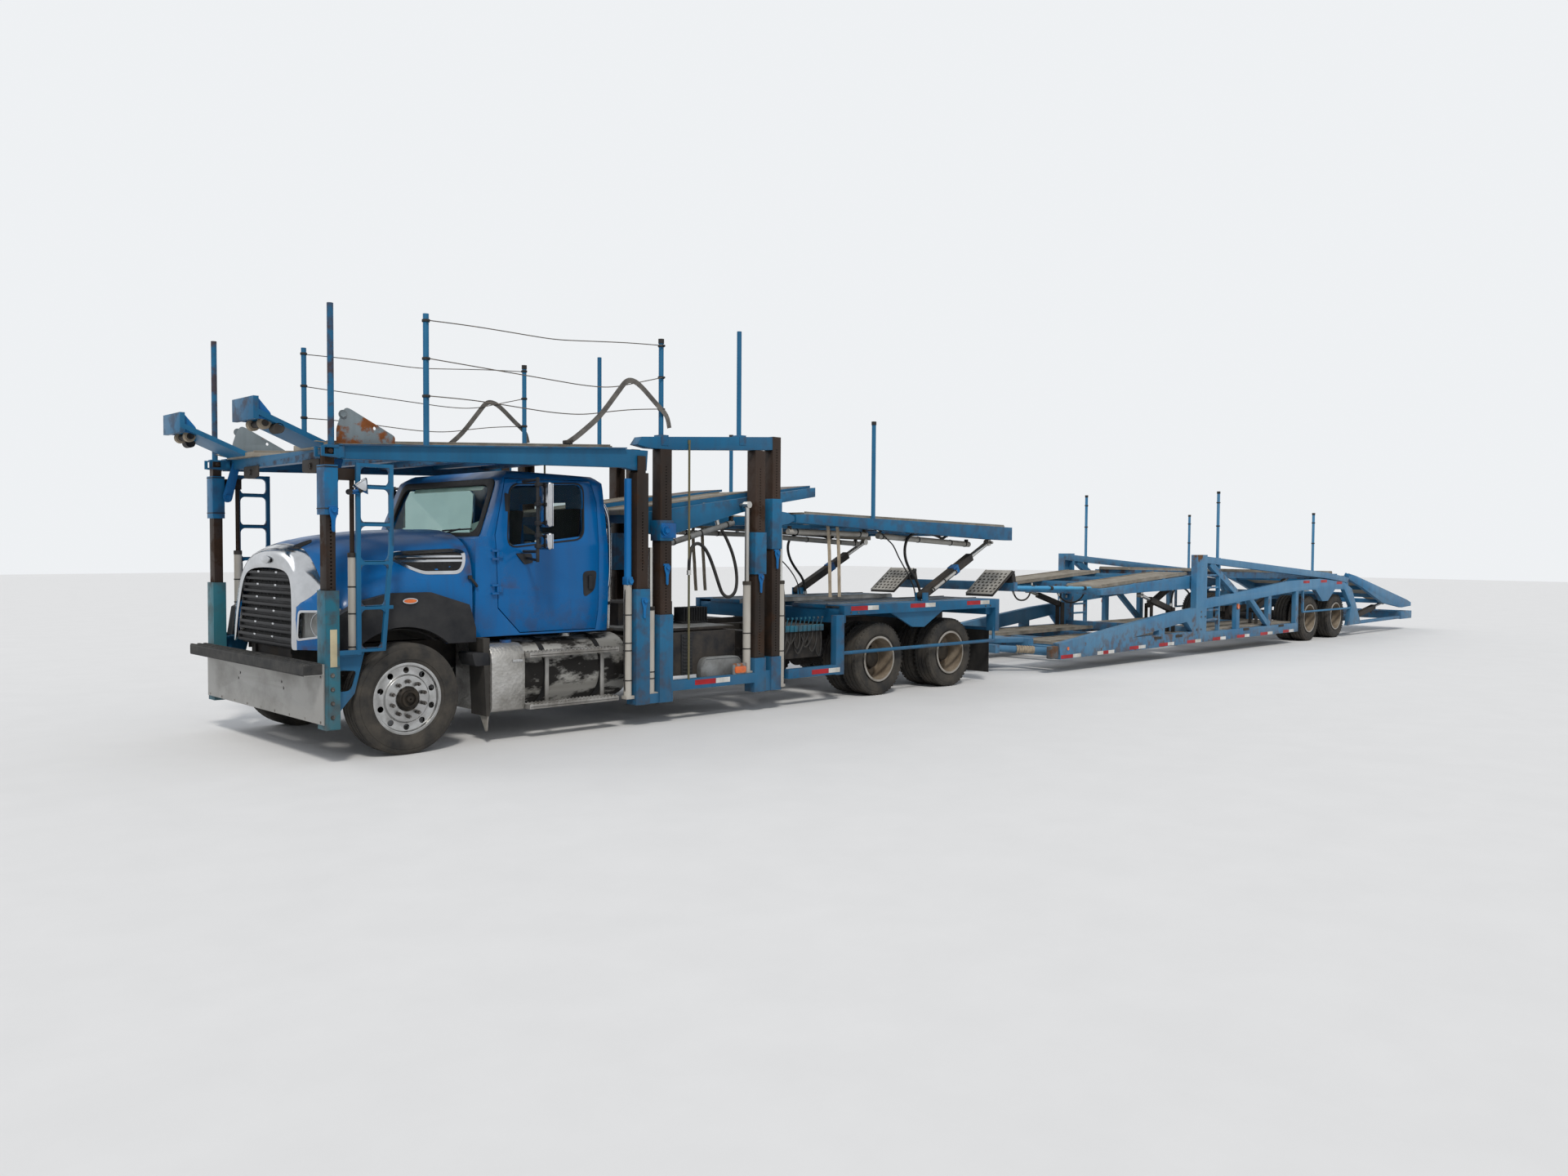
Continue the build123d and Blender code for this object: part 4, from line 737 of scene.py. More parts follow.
def hoodSkin():
    across = 2 * len(hoodRows[0]) - 1
    clearSelection()
    bpy.ops.mesh.primitive_grid_add(x_subdivisions=across - 1, y_subdivisions=len(hoodRows) - 1, size=1)
    skin = bpy.context.object
    for index, vertex in enumerate(skin.data.vertices):
        row, column = divmod(index, across)
        half = column - (len(hoodRows[0]) - 1)
        x, y, z = hoodRows[row][abs(half)]
        vertex.co = at(x, y if half > 0 else -y, z)
    applied(skin, "SUBSURF", levels=2)
    editAll()
    bpy.ops.mesh.normals_make_consistent(inside=False)
    leaveEdit()
    highest = max(skin.data.polygons, key=lambda face: face.center.z)
    if highest.normal.z < 0:
        skin.data.flip_normals()
    return applied(skin, "SOLIDIFY", thickness=hoodDetail["skin"] / 1000, offset=-1)


def buildHood():
    d = hoodDetail
    lampGlass = glassFinish("lampGlass", (0.9, 0.93, 0.95))
    reflector = plainFinish("reflector", (0.8, 0.8, 0.8), (0.6, 0.6, 0.6), 0.08, 1.0, 9.0, bump=0.02)
    amberGlass = plainFinish("amberGlass", (0.75, 0.16, 0.01), (0.5, 0.08, 0.01), 0.15, 0.0, 12.0, coat=0.8)
    meshBlack = plainFinish("meshBlack", (0.006, 0.006, 0.007), (0.02, 0.02, 0.02), 0.6, 0.2, 30.0)
    skin = hoodSkin()
    arch = arc(d["archRadius"], d["archRadius"], 24, (0, d["wheelZ"])) + [(-d["archRadius"], 300),
        (d["archRadius"], 300)]
    for side in (1, -1):
        cutAway(skin, sidePrism(arch, (side * 560, side * 1200)))
    brow = [(530, 1900), (530, 1372), (560, 1345), (668, 1236), (686, 1200), (694, 1100), (700, 800),
            (900, 800), (900, 1900)]
    lamp = [(668, 1172), (1000, 1182), (1012, 1100), (985, 1010), (880, 962), (672, 930)]
    vent = [(-4, 1592), (-60, 1640), (-560, 1668), (-634, 1650), (-600, 1530), (-548, 1462), (-230, 1460),
            (-110, 1515)]
    ventInner = [(-38, 1590), (-80, 1618), (-550, 1645), (-606, 1630), (-578, 1535), (-535, 1486),
                 (-235, 1484), (-130, 1530)]
    chrome = patchOf(skin, sidePrism(brow, (-1200, 1200)), d["chromeLift"])
    lenses, rims, vents, ventMesh, scoops = [], [], [], [], []
    for side in (1, -1):
        turned = [(side * y, z) for y, z in lamp]
        middle = (side * 840, 1060)
        shrunk = [(middle[0] + (y - middle[0]) * 0.9, middle[1] + (z - middle[1]) * 0.86)
                  for y, z in turned]
        lenses.append(patchOf(skin, smoothPrism(shrunk, "X", (350, 900), 25), 0))
        rim = patchOf(skin, smoothPrism(turned, "X", (350, 900), 30), 3)
        rims.append(cutAway(rim, smoothPrism(shrunk, "X", (340, 910), 25)))
        outer = patchOf(skin, smoothPrism(vent, "Y", (side * 500, side * 1200), 50), 7)
        ventMesh.append(patchOf(skin, smoothPrism(ventInner, "Y", (side * 500, side * 1200), 40), 1.5))
        vents.append(cutAway(outer, smoothPrism(ventInner, "Y", (side * 490, side * 1210), 40)))
        for low, high in ((1596, 1606), (1560, 1571)):
            bar = [(-52, low), (-52, high), (-598, high + 6), (-590, low + 6)]
            vents.append(patchOf(skin, sidePrism(bar, (side * 500, side * 1200)), 6))
        scoop = [(380, 210), (430, 330), (590, 360), (600, 250)]
        scoops.append(patchOf(skin, smoothPrism([(x, side * y) for x, y in scoop], "Z", (1500, 1900), 35),
                              2.5))
        cutAway(skin, smoothPrism(turned, "X", (350, 900), 30))
    cutAway(skin, sidePrism([(x - 1.5 if x < 700 else x, z) for x, z in brow], (-1200, 1200)))
    setIn(skin, "hoodSkin", "hood", cabPaint, smooth=40, slot="cab_paint", replaces=("hood",))
    setIn([chrome] + rims + vents, "hoodChrome", "hood", chromeSteel, smooth=40, slot="chrome")
    setIn(lenses, "lampLenses", "hood", lampGlass, smooth=40)
    setIn(ventMesh + scoops, "hoodVents", "hood", meshBlack, smooth=40)
    axis, place = (1, 0.35, 0), at(560, 835, 1062)
    bowl = [(-55, 12), (-50, 40), (-30, 68), (10, 88), (26, 92), (26, 96), (8, 94), (-36, 74), (-62, 40),
            (-64, 12)]
    bulb = [(-40, 3), (-10, 14), (8, 12), (14, 3)]
    setBoth([addSpun(bowl, place, 32, axis), addSpun(bulb, place, 16, axis)], "lampBowls", "hood",
            reflector, smooth=50)
    housing = smoothPrism([(470, 980), (440, 660), (640, 650), (640, 700), (560, 860)], "Z", (915, 1195), 0)
    setBoth([housing], "lampHousings", "hood", dirtyAlloy, smooth=20)
    oval, ovalIn = ([at(x, 1111, z) for x, z in arc(across, tall, 20, (-48, 1246), True)]
                    for across, tall in ((66, 24), (56, 17)))
    setBoth([addRing(oval, ovalIn, (0, 0.012, 0))], "markerRings", "hood", chromeSteel, 1)
    setBoth([addPlate(ovalIn, (0, 0.009, 0))], "markerLamps", "hood", amberGlass, 1.5)
    # wheel housings and hinge lugs
    outer = [(x, z) for x, z in arc(d["linerRadius"], d["linerRadius"], 20, (0, d["wheelZ"])) if z > 872]
    inner = [(x * 0.985, d["wheelZ"] + (z - d["wheelZ"]) * 0.985) for x, z in reversed(outer)]
    liners = [sidePrism(outer + inner, (525, 1015)), addBlock((-630, 560), (500, 515), (880, 1480), 2),
              addBlock((605, 660), (441, 457), (806, 905), 3)]
    setBoth(liners, "wheelHousings", "hood", flapRubber, smooth=30)
    bars, clips, backing = [], [], []
    for count in range(d["bars"]):
        z = d["firstBar"] + count * d["barPitch"]
        lean = (z - 850) / 660
        front = 704 - 46 * lean
        half = 588 - 88 * lean
        bar = addBlock((front - 42, front), (-half, half), (z, z + d["barHeight"]), 7)
        widest = max(bar.data.polygons, key=lambda face: face.area * (face.normal.x > 0.9)).index
        editFaces(bar, lambda face: face.index == widest)
        bpy.ops.mesh.inset(thickness=0.016)
        bpy.ops.mesh.inset(thickness=0.003, depth=-0.026)
        leaveEdit()
        bars.append(bar)
        backing.append(addBlock((front - 60, front - 44), (-half + 4, half - 4),
                                (z - 20, z + d["barPitch"] - 18), 2))
        for y in (-190, 190):
            clips.append(addBlock((front - 4, front + 5), (y - 20, y + 20),
                                  (z + d["barHeight"] - 14, z + d["barHeight"] + 3), 3))
    for y in (-430, -250, -85, 85, 250, 430):
        bars.append(addTube((655, y, 850), (612, y * 0.9, 1490), 12, 8, 0))
    setIn(bars, "grilleBars", "hood", blackPlastic, smooth=30, slot="black_plastic",
          replaces=("grille_and_lamps",))
    setIn(clips, "grilleClips", "hood", chromeSteel)
    setIn(backing, "grilleMesh", "hood", meshBlack)
    lean = Matrix.Translation(at(676, 0, 1572)) @ Matrix.Rotation(math.radians(-4), 4, "Y")
    badge = [lean @ Vector((0, y / 1000, z / 1000)) for y, z in arc(92, 34, 24, (0, 0), True)]
    setIn(addPlate(badge, (0.012, 0, 0)), "blankBadge", "hood", chromeSteel, 3)
    # latch straps between hood and cab
    latch = [addHose([(-632, 1040, 1430), (-660, 1052, 1395), (-700, 1050, 1345), (-690, 1048, 1355)], 12),
             addBlock((-650, -615), (1030, 1052), (1412, 1446), 5)]
    setBoth(latch, "hoodLatches", "hood", blackPlastic)


buildHood()
print("hood built")


# cab: glass, gaskets, mirrors, handles, pipes and tanks

cabDetail = {"screenNormal": (0.933, 0, 0.359), "doorTaper": 57 / 535, "glassDepth": 14, "mirrorBevel": 24}


def onScreen(y, z, lift=0):
    # a place on the windscreen's plane, lifted along its normal
    x = -800 - (z - 1780) * 200 / 520
    return at(x, y, z) + Vector(cabDetail["screenNormal"]) * lift / 1000


def onDoor(side, x, z, lift=0):
    y = 1032 - max(0, z - 1700) * cabDetail["doorTaper"] + lift
    return at(x, side * y, z)


def grownCorners(corners, amount):
    midX = sum(x for x, z in corners) / len(corners)
    midZ = sum(z for x, z in corners) / len(corners)
    moved = []
    for x, z in corners:
        moved.append((x + math.copysign(amount, x - midX), z + math.copysign(amount, z - midZ)))
    return moved


def buildCab():
    normal = Vector(cabDetail["screenNormal"])
    greenGlass = glassFinish("greenGlass", (0.62, 0.78, 0.74))
    sideGlass = glassFinish("sideGlass", (0.42, 0.5, 0.5))
    gasket = plainFinish("gasket", (0.01, 0.01, 0.011), (0.02, 0.02, 0.02), 0.5, 0.0, 20.0)
    paper = plainFinish("paper", (0.75, 0.75, 0.72), (0.6, 0.6, 0.58), 0.8, 0.0, 10.0)
    mirrorGlass = plainFinish("mirrorGlass", (0.7, 0.72, 0.75), (0.6, 0.62, 0.66), 0.03, 1.0, 2.0, bump=0.0,
                              roughTo=0.06)
    outer = [(-915, 1752), (915, 1752), (862, 2292), (-862, 2292)]
    inner = [(-838, 1812), (838, 1812), (796, 2238), (-796, 2238)]
    outerLine = roundedOutline([onScreen(y, z, 9) for y, z in outer], 0.09, 6)
    innerLine = roundedOutline([onScreen(y, z, 9) for y, z in inner], 0.12, 6)
    pane = roundedOutline([onScreen(y, z, -12) for y, z in grownCorners(inner, 14)], 0.1, 6)
    setIn(addRing(outerLine, innerLine, -normal * 0.028), "screenGasket", "root", gasket, 3)
    setIn(addPlate(pane, -normal * 0.006), "screenGlass", "root", greenGlass)
    setIn([addPlate([onScreen(y, z, -24)
                     for y, z in ((-640, 2205), (640, 2205), (640, 2252), (-640, 2252))], -normal * 0.002),
           addPlate([onScreen(y, z, -26) for y, z in ((660, 1830), (800, 1830), (770, 1925), (655, 1900))],
                    -normal * 0.001),
           addBlock((-905, -840), (300, 560), (1700, 1712), 2)], "screenPapers", "root", paper)
    wipers = [addHose([(-742, 120, 1768), (-770, 300, 1800), (-808, 560, 1846)], 7),
              addTube((-806, 250, 1832), (-806, 760, 1846), 7, 8, 0),
              addTube((-745, 120, 1740), (-738, 120, 1786), 18, 12, 3)]
    setBoth(wipers, "wipers", "root", blackPlastic)
    window = [(-1075, 2228), (-1018, 1698), (-1790, 1782), (-1822, 2262)]
    for name, side in sides:
        body = "door_" + name
        out = Vector((0, side, 0))

        def flat(corners, lift, reach, steps=4):
            return roundedOutline([onDoor(side, x, z, lift) for x, z in corners], reach, steps)

        rim, hole = flat(grownCorners(window, 24), 5, 0.11, 6), flat(grownCorners(window, -10), 5, 0.1, 6)
        glass = flat(grownCorners(window, 4), -cabDetail["glassDepth"], 0.1, 6)
        setIn(addRing(rim, hole, -out * 0.024), body + "Gasket", body, gasket, 2)
        setIn(addPlate(glass, -out * 0.005), body + "Glass", body, sideGlass)
        recess = flat(((-1790, 1466), (-1950, 1478), (-1926, 1292), (-1802, 1222)), 2, 0.05)
        bracket = flat(((-1080, 1632), (-1240, 1634), (-1258, 1552), (-1172, 1532)), 12, 0.02)
        sail = flat(((-1002, 2165), (-1000, 2000), (-1034, 2000), (-1060, 2150)), 3, 0.015)
        y = side * 1330
        dark = [addPlate(recess, -out * 0.006), addPlate(bracket, -out * 0.014),
                addPlate(sail, -out * 0.006), addBlock((-1905, -1850), (side * 1036, side * 1052),
                    (1300, 1430), 9),
                addTube((-1120, y, 1560), (-1120, y, 2290), 15, 16, 3),
                addTube((-1150, side * 1034, 1650), (-1120, y, 1650), 13, 14, 2),
                addTube((-1150, side * 950, 2262), (-1120, y, 2270), 13, 14, 2),
                addTube((-1190, side * 1038, 1590), (-1120, y, 1575), 12, 12, 2)]
        for z in (2230, 2058, 1895, 1790, 1700):
            dark.append(addBlock((-1140, -1098), (y - side * 22, y + side * 26), (z - 18, z + 18), 6))
            dark.append(addTube((-1166, y, z), (-1120, y, z), 11, 10, 1))
        setIn(dark, body + "Fittings", body, blackPlastic)
        heads, faces = [], []
        for low, high in ((1860, 2250), (1665, 1815)):
            heads.append(addBlock((-1208, -1160), (side * 1270, side * 1440), (low, high),
                                  cabDetail["mirrorBevel"], 4))
            faces.append(addBlock((-1215, -1207), (side * 1280, side * 1430), (low + 10, high - 10), 3))
        setIn(heads, body + "Mirrors", body, chromeSteel, slot="chrome", smooth=50)
        setIn(faces, body + "MirrorFaces", body, mirrorGlass)
    rail = [(-2080, 952, 2086), (-2126, 958, 2010), (-2144, 960, 1870), (-2148, 960, 1370),
            (-2110, 956, 1262), (-2082, 954, 1234)]
    setBoth([addHose(rail, 17, 12)], "grabRails", "root", chromeSteel, smooth=60)
    setBoth([addTube((-2260, 700, 905), (-2260, 700, 1735), 62, 32, 8)], "airTanks", "root", polishedAlloy,
            smooth=40)
    ring = [(-16, 62), (-16, 67), (16, 67), (16, 62)]
    rings = [addSpun(ring, at(-2260, 700, z), 28, (0, 0, 1)) for z in (1150, 1400, 1640)]
    setBoth(rings, "airTankBands", "root", blackPlastic)


tankDetail = {"radius": 308, "front": -1095, "back": -2300, "y": 800, "z": 570, "strapXs": (-1350, -1950),
              "teeth": 24}


def serratedStep(x, y, z):
    front, back = x
    pieces = [addBlock(x, y, (z[0] + 14, z[0] + 22), 2), addBlock(x, (y[1] - 9, y[1]), z, 3),
              addBlock(x, (y[0], y[0] + 9), z, 3)]
    pitch = (back - front) / tankDetail["teeth"]
    for count in range(tankDetail["teeth"]):
        middle = front + pitch * (count + 0.5)
        for place in (y[1] - 7, (y[0] + y[1]) / 2, y[0] + 7):
            low = z[1] - 1 if place != (y[0] + y[1]) / 2 else z[0] + 21
            tooth = [at(middle - pitch * 0.32, place - 5, low), at(middle + pitch * 0.32, place - 5, low),
                     at(middle + pitch * 0.2, place - 5, low + 9),
                     at(middle - pitch * 0.2, place - 5, low + 9)]
            pieces.append(addPlate(tooth, (0, 0.009, 0)))
    for place in (front, back):
        pieces.append(addBlock((place - 4, place + 4), y, z, 2))
    return pieces


def buildTanks():
    d = tankDetail
    scraped = plainFinish("scrapedTank", (0.42, 0.41, 0.38), (0.03, 0.028, 0.026), 0.4, 0.6, 2.6,
                          (1.0, 2.2, 2.2), low=0.47, high=0.56, bump=0.15, roughTo=0.7)
    checker = plainFinish("checkerPlate", (0.5, 0.49, 0.47), (0.3, 0.29, 0.27), 0.35, 0.8, 4.0, roughTo=0.6,
                          bump=0.1)
    tree = checker.node_tree
    spot = tree.nodes["Texture Coordinate"].outputs["Object"]
    cells = addNode(tree, "TexVoronoi", {"Scale": 34, "Vector": spot})
    cells.distance = "MANHATTAN"
    feed(tree, tree.nodes["Bump"], {"Height": cells.outputs["Distance"], "Strength": 0.7,
                                    "Distance": 0.004})
    length = d["front"] - d["back"]
    profile = [(0, 0), (0, 240), (8, 275), (26, 297), (52, 307), (length - 52, 307), (length - 26, 297),
               (length - 8, 275), (length, 240), (length, 0)]
    middle = (d["y"], d["z"])
    band = [(-26, 306), (-26, 312), (26, 312), (26, 306)]
    straps, hangers, steps = [], [], []
    for x in d["strapXs"]:
        straps.append(addSpun(band, at(x, *middle), 48, (1, 0, 0)))
        hangers += [addBlock((x - 24, x + 24), (430, 520), (560, 640), 4),
                    addBlock((x - 20, x + 20), (1106, 1120), (300, 740), 3),
                    smoothPrism([(1060, 690), (1112, 742), (1112, 728), (1066, 676)], "X", (x - 20, x + 20),
                                0)]
    for z in ((728, 768), (275, 315)):
        steps += serratedStep((-2040, -1095), (1112, 1250), z)
    stepBox = [(560, 850), (560, 265), (1120, 265), (1160, 276), (1180, 310), (1180, 700), (1168, 770),
               (1130, 826), (1070, 850)]
    boxes = [smoothPrism(stepBox, "X", (-1085, -760), 0),
             addBlock((-1000, -850), (430, 561), (620, 780), 4)]
    caps = [addTube((-1714, 850, 868), (-1714, 850, 893), 48, 24, 6),
            addTube((-1714, 850, 868), (-1714, 850, 878), 60, 24, 2),
            addBlock((-1060, -960), (1179, 1186), (690, 715), 3)]
    tank = addSpun(profile, at(d["front"], *middle), 48, (-1, 0, 0))
    setBoth([tank], "tankBodies", "root", scraped, smooth=40, replaces=("fuel_tanks",), slot="aluminium")
    setBoth(straps, "tankStraps", "root", finish("gasket"), smooth=40)
    setBoth(hangers + steps, "tankSteps", "root", dirtyAlloy, smooth=25)
    setBoth(boxes, "stepBoxes", "root", checker, 6, smooth=50)
    setBoth(caps, "tankCaps", "root", polishedAlloy, smooth=40)
    filler = addTube((-1000, 1000, 848), (-1000, 1000, 874), 50, 20, 8)
    setBoth([filler], "fillerCaps", "root", cabPaint, smooth=40)


buildCab()
buildTanks()
print("cab and tanks built")


# front end, posts, rack and rigging


def toothedStrip(first, last, height, z, tall, pitch):
    # the outline of a strip with saw teeth along its top
    count = int(abs(last - first) / pitch)
    pitch = (last - first) / count
    outline = [(first, z - height)]
    for tooth in range(count):
        outline += [(first + pitch * tooth, z), (first + pitch * (tooth + 0.25), z + tall),
                    (first + pitch * (tooth + 0.6), z + tall)]
    return outline + [(last, z), (last, z - height)]


def bolt(place, way, radius=12, height=9):
    start, way = Vector(place), Vector(way)
    return [addTube(start - way, start + way * 2.5, radius * 1.35, 16, 0.8),
            addTube(start, start + way * height, radius, 6, 1.5)]


bumperDetail = {"boltYs": range(-1200, 1201, 300), "boltZs": (337, 688),
                "padXs": ((748, 770), (800, 822), (862, 880)), "halfLength": 1248, "top": 790}


def buildBumper():
    d = bumperDetail
    front, padTop = at(734, 0, 0).x, 0.7
    plate = dressed["front_bumper"]
    paintWhere(plate, stepRubber, lambda centre, corners: centre.x > front and centre.z > padTop)
    bolts = stamped(joined(bolt((732, 0, 0), (1, 0, 0), 8, 5)),
                    [(0, y, z) for y in d["boltYs"] for z in d["boltZs"]])
    setIn(bolts, "bumperBolts", "root", dirtyAlloy)
    outline = toothedStrip(-d["halfLength"], d["halfLength"], 6, d["top"] + 1, 8, 26)
    board = [addBlock((735, 884), (-d["halfLength"] - 5, d["halfLength"] + 5), (708, d["top"] + 2), 9)]
    setIn(board + [smoothPrism(outline, "X", x, 0) for x in d["padXs"]], "stepBoardTeeth", "root",
          stepRubber, smooth=20)


ladderDetail = {"front": 433, "y": (1240, 1266), "rungs": (880, 1210, 1560, 1860, 2150, 2320), "fillet": 42,
                "half": 14}
sleeveDetail = {"x": 665, "low": 1925, "high": 2315, "seams": (1978, 2296)}
holeRows = (
    # x, lowest, highest and the outer face
    (-2310, 1480, 2020, 1258), (-2590, 880, 1730, 1258), (-2590, 1980, 2470, 1258),
    (-3820, 600, 1400, 1258), (-3820, 1880, 2520, 1258), (-4050, 620, 1660, 1258),
    (-4050, 2230, 2720, 1258))
leverSpots = ((-2320, 1190, "root"), (-2590, 1500, "root"), (-3820, 1395, "root"), (-4050, 1640, "root"),
              (655, 1965, "front_lift"))
bandRows = (
    # x, barrel radius and the heights of its bands
    (475, 33, (1375, 1166, 907)), (-2180, 38, (1060, 796, 725, 445)), (-2450, 38, (1108, 508, 445)),
    (-3692, 40, (1322, 819, 659)), (-4172, 40, (1322, 980, 610)))


def ladderBack(z):
    return 267 - (z - 880) * 70 / 820 if z < 1690 else 197


def filletPiece(x, z, toX, toZ, reach, y):
    # the web that rounds an inner corner of a frame
    outline = [(x - toX, z - toZ), (x + toX * reach, z - toZ), (x + toX * reach, z)]
    for turn in (math.radians(18 * step) for step in range(1, 5)):
        outline.append((x + toX * reach * (1 - math.sin(turn)), z + toZ * reach * (1 - math.cos(turn))))
    outline += [(x, z + toZ * reach), (x - toX, z + toZ * reach)]
    return sidePrism(outline, y)


def buildFrontPosts():
    posts, lift = dressed["front_posts"], dressed["front_lift_posts"]
    sleeve = sleeveDetail
    core = (at(sleeve["x"] - 54, 0, 0).x, at(sleeve["x"] + 54, 0, 0).x)
    paintWhere(lift, sleeveBlue, lambda centre, corners: core[0] < centre.x < core[1]
               and sleeve["low"] < centre.z * 1000 < sleeve["high"])
    lowPaint = at(600, 0, 0).x
    paintWhere(posts, tealPost, lambda centre, corners: centre.x > lowPaint)
    holes = stamped(addTube((665, 1236, 0), (665, 1275, 0), 8, 8, 0),
                    [(0, 0, z) for z in range(1372, 1900, 28)])
    cutAway(lift, joined(bothSides(holes)))
    seams = [addBlock((611, 719), (1118, 1272), (z - 4, z + 4), 1.5) for z in sleeve["seams"]]
    setBoth(seams, "sleeveSeams", "front_lift", bandBlack)
    opening = [(585, 728), (442, 716), (478, 590), (505, 560), (585, 560)]
    cutAway(posts, joined(bothSides([smoothPrism(opening, "Y", (1170, 1212), 30)])))
    bolts = stamped(joined(bolt((669, 1274, 0), (0, 1, 0), 13)), [(0, 0, z) for z in (701, 593, 485, 377)])
    setBoth(bolts, "footBolts", "root", finish("nutSteel"))
    setBoth([addBlock((607, 697), (1269, 1274), (286, 756), 2)], "footPlates", "root", tealPost)
    setBoth([addBlock((630, 684), (1269, 1272), (764, 1052), 1)], "postStrips", "root", tanTape)
    ladder, fillets = ladderDetail, []
    for low, high in zip(ladder["rungs"], ladder["rungs"][1:]):
        low, high = low + ladder["half"], high - ladder["half"]
        for z, toZ in ((low, 1), (high, -1)):
            fillets.append(filletPiece(ladder["front"], z, -1, toZ, ladder["fillet"], ladder["y"]))
            fillets.append(filletPiece(ladderBack(z), z, 1, toZ, ladder["fillet"], ladder["y"]))
    for z in ladder["rungs"][:-1]:
        z += ladder["half"]
        fillets.append(sidePrism(toothedStrip(ladderBack(z) + 30, ladder["front"] - 30, 4, z, 6, 13),
                                 ladder["y"]))
    setBoth(fillets, "ladderFillets", "root", rackPaint, smooth=25)
    arm = smoothPrism([(478, 2452), (545, 2452), (640, 2130), (622, 2072), (566, 2080)], "Y", (1086, 1104),
                      30)
    pins = bolt((600, 1104, 2114), (0, 1, 0), 20,
                14) + [addTube((600, 1070, 2114), (600, 1090, 2114), 30, 20, 3)]
    setBoth([arm] + pins, "liftLinks", "head_rack", brightBlue, 3)


def buildPostDetail():
    channels = dressed["rack_posts"]
    cutters = []
    for x, low, high, face in holeRows:
        first = addTube((x, face - 20, 0), (x, face + 12, 0), 8, 8, 0)
        cutters += stamped(first, [(0, 0, z) for z in range(low, high, 28)])
    cutAway(channels, joined(bothSides(cutters)))
    lever = [smoothPrism([(-36, 22), (34, 24), (36, -12), (16, -70), (14, -165), (-12, -168), (-16, -70),
                          (-38, -14)], "Y",
                         (1274, 1282), 18),
             addTube((0, 1250, 0), (0, 1300, 0), 19, 16, 3),
             addTube((-30, 1262, 26), (34, 1262, 26), 10, 10, 2)]
    lever = joined(lever)
    levers = {}
    for x, z, body in leverSpots:
        levers.setdefault(body, []).append(movedCopy(lever, Matrix.Translation(Vector((x, 0, z)) / 1000)))
    bpy.data.objects.remove(lever)
    for body, pieces in levers.items():
        setBoth(pieces, "postLevers_" + body, body, brightBlue, 1.5)
    bands = []
    for x, radius, heights in bandRows:
        for z in heights:
            bands.append(addSpun([(-5, radius - 2), (-5, radius + 2), (-3, radius + 4), (3, radius + 4),
                                  (5, radius + 2), (5, radius - 2)], at(x, 1200, z), 24, (0, 0, 1)))
    setBoth(bands, "cylinderBands", "root", bandBlack)
    rods = dressed["lift_barrels"]
    for material, x, z in ((brightBlue, -2180, 1345), (rodSteel, -2450, 1125), (rodSteel, -4172, 1345)):
        middle = at(x, 0, 0).x
        paintWhere(rods, material, lambda centre, corners: abs(centre.x - middle) < 0.037
                   and centre.z * 1000 > z)
    glands = []
    for x, z, radius in ((-2450, 1120, 42), (-3692, 1340, 45), (-4172, 1340, 44), (475, 1630, 36)):
        glands.append(addSpun([(-26, 20), (-26, radius), (6, radius), (10, radius - 4),
                               (10, 26 if x > 0 or x == -3692 else 22)],
                              at(x, 1200, z), 24, (0, 0, 1)))
    setBoth(glands, "cylinderGlands", "root", darkSteel)
    clevis = [addBlock((-2216, -2144), (1160, 1240), (1338, 1416), 10),
              addTube((-2180, 1150, 1376), (-2180, 1262, 1376), 24, 20, 4)]
    boss = [addTube((-2560, 1268, 1850), (-2560, 1306, 1850), 48, 24, 5),
            addBlock((-2700, -2520), (1263, 1276), (1780, 1925), 10)]
    boss += bolt((-2560, 1306, 1850), (0, 1, 0), 24, 14)
    setBoth(clevis + boss, "postClevises", "root", brightBlue, 2)
    pipes = []
    for x, low, high, offset in ((-2180, 330, 1290, 46), (475, 900, 1600, -42), (-4172, 300, 1290, -48)):
        pipes.append(addHose([(x + offset * 0.6, 1205, high + 20), (x + offset, 1212, high - 30),
                              (x + offset, 1214, (low + high) / 2), (x + offset * 1.1, 1212, low + 60),
                              (x + offset * 0.6, 1205, low)], 7))
    setBoth(pipes, "cylinderPipes", "root", bandBlack)


stakeDetail = {"front": (-150, 1205, (3514, 3209, 2907)), "back": (-2570, 1200, (3604, 3305, 3005)),
               "corner": (654, 1240, 3536)}


def stakeRing(x, y, z):
    return [addSpun([(-11, 20), (-11, 29), (-7, 32), (7, 32), (11, 29), (11, 20)], at(x, y, z), 20,
                    (0, 0, 1)),
            addTube((x, y, z), (x, y + 44, z), 8, 10, 2),
            addTube((x - 14, y + 36, z), (x + 14, y + 36, z), 10, 10, 2)]


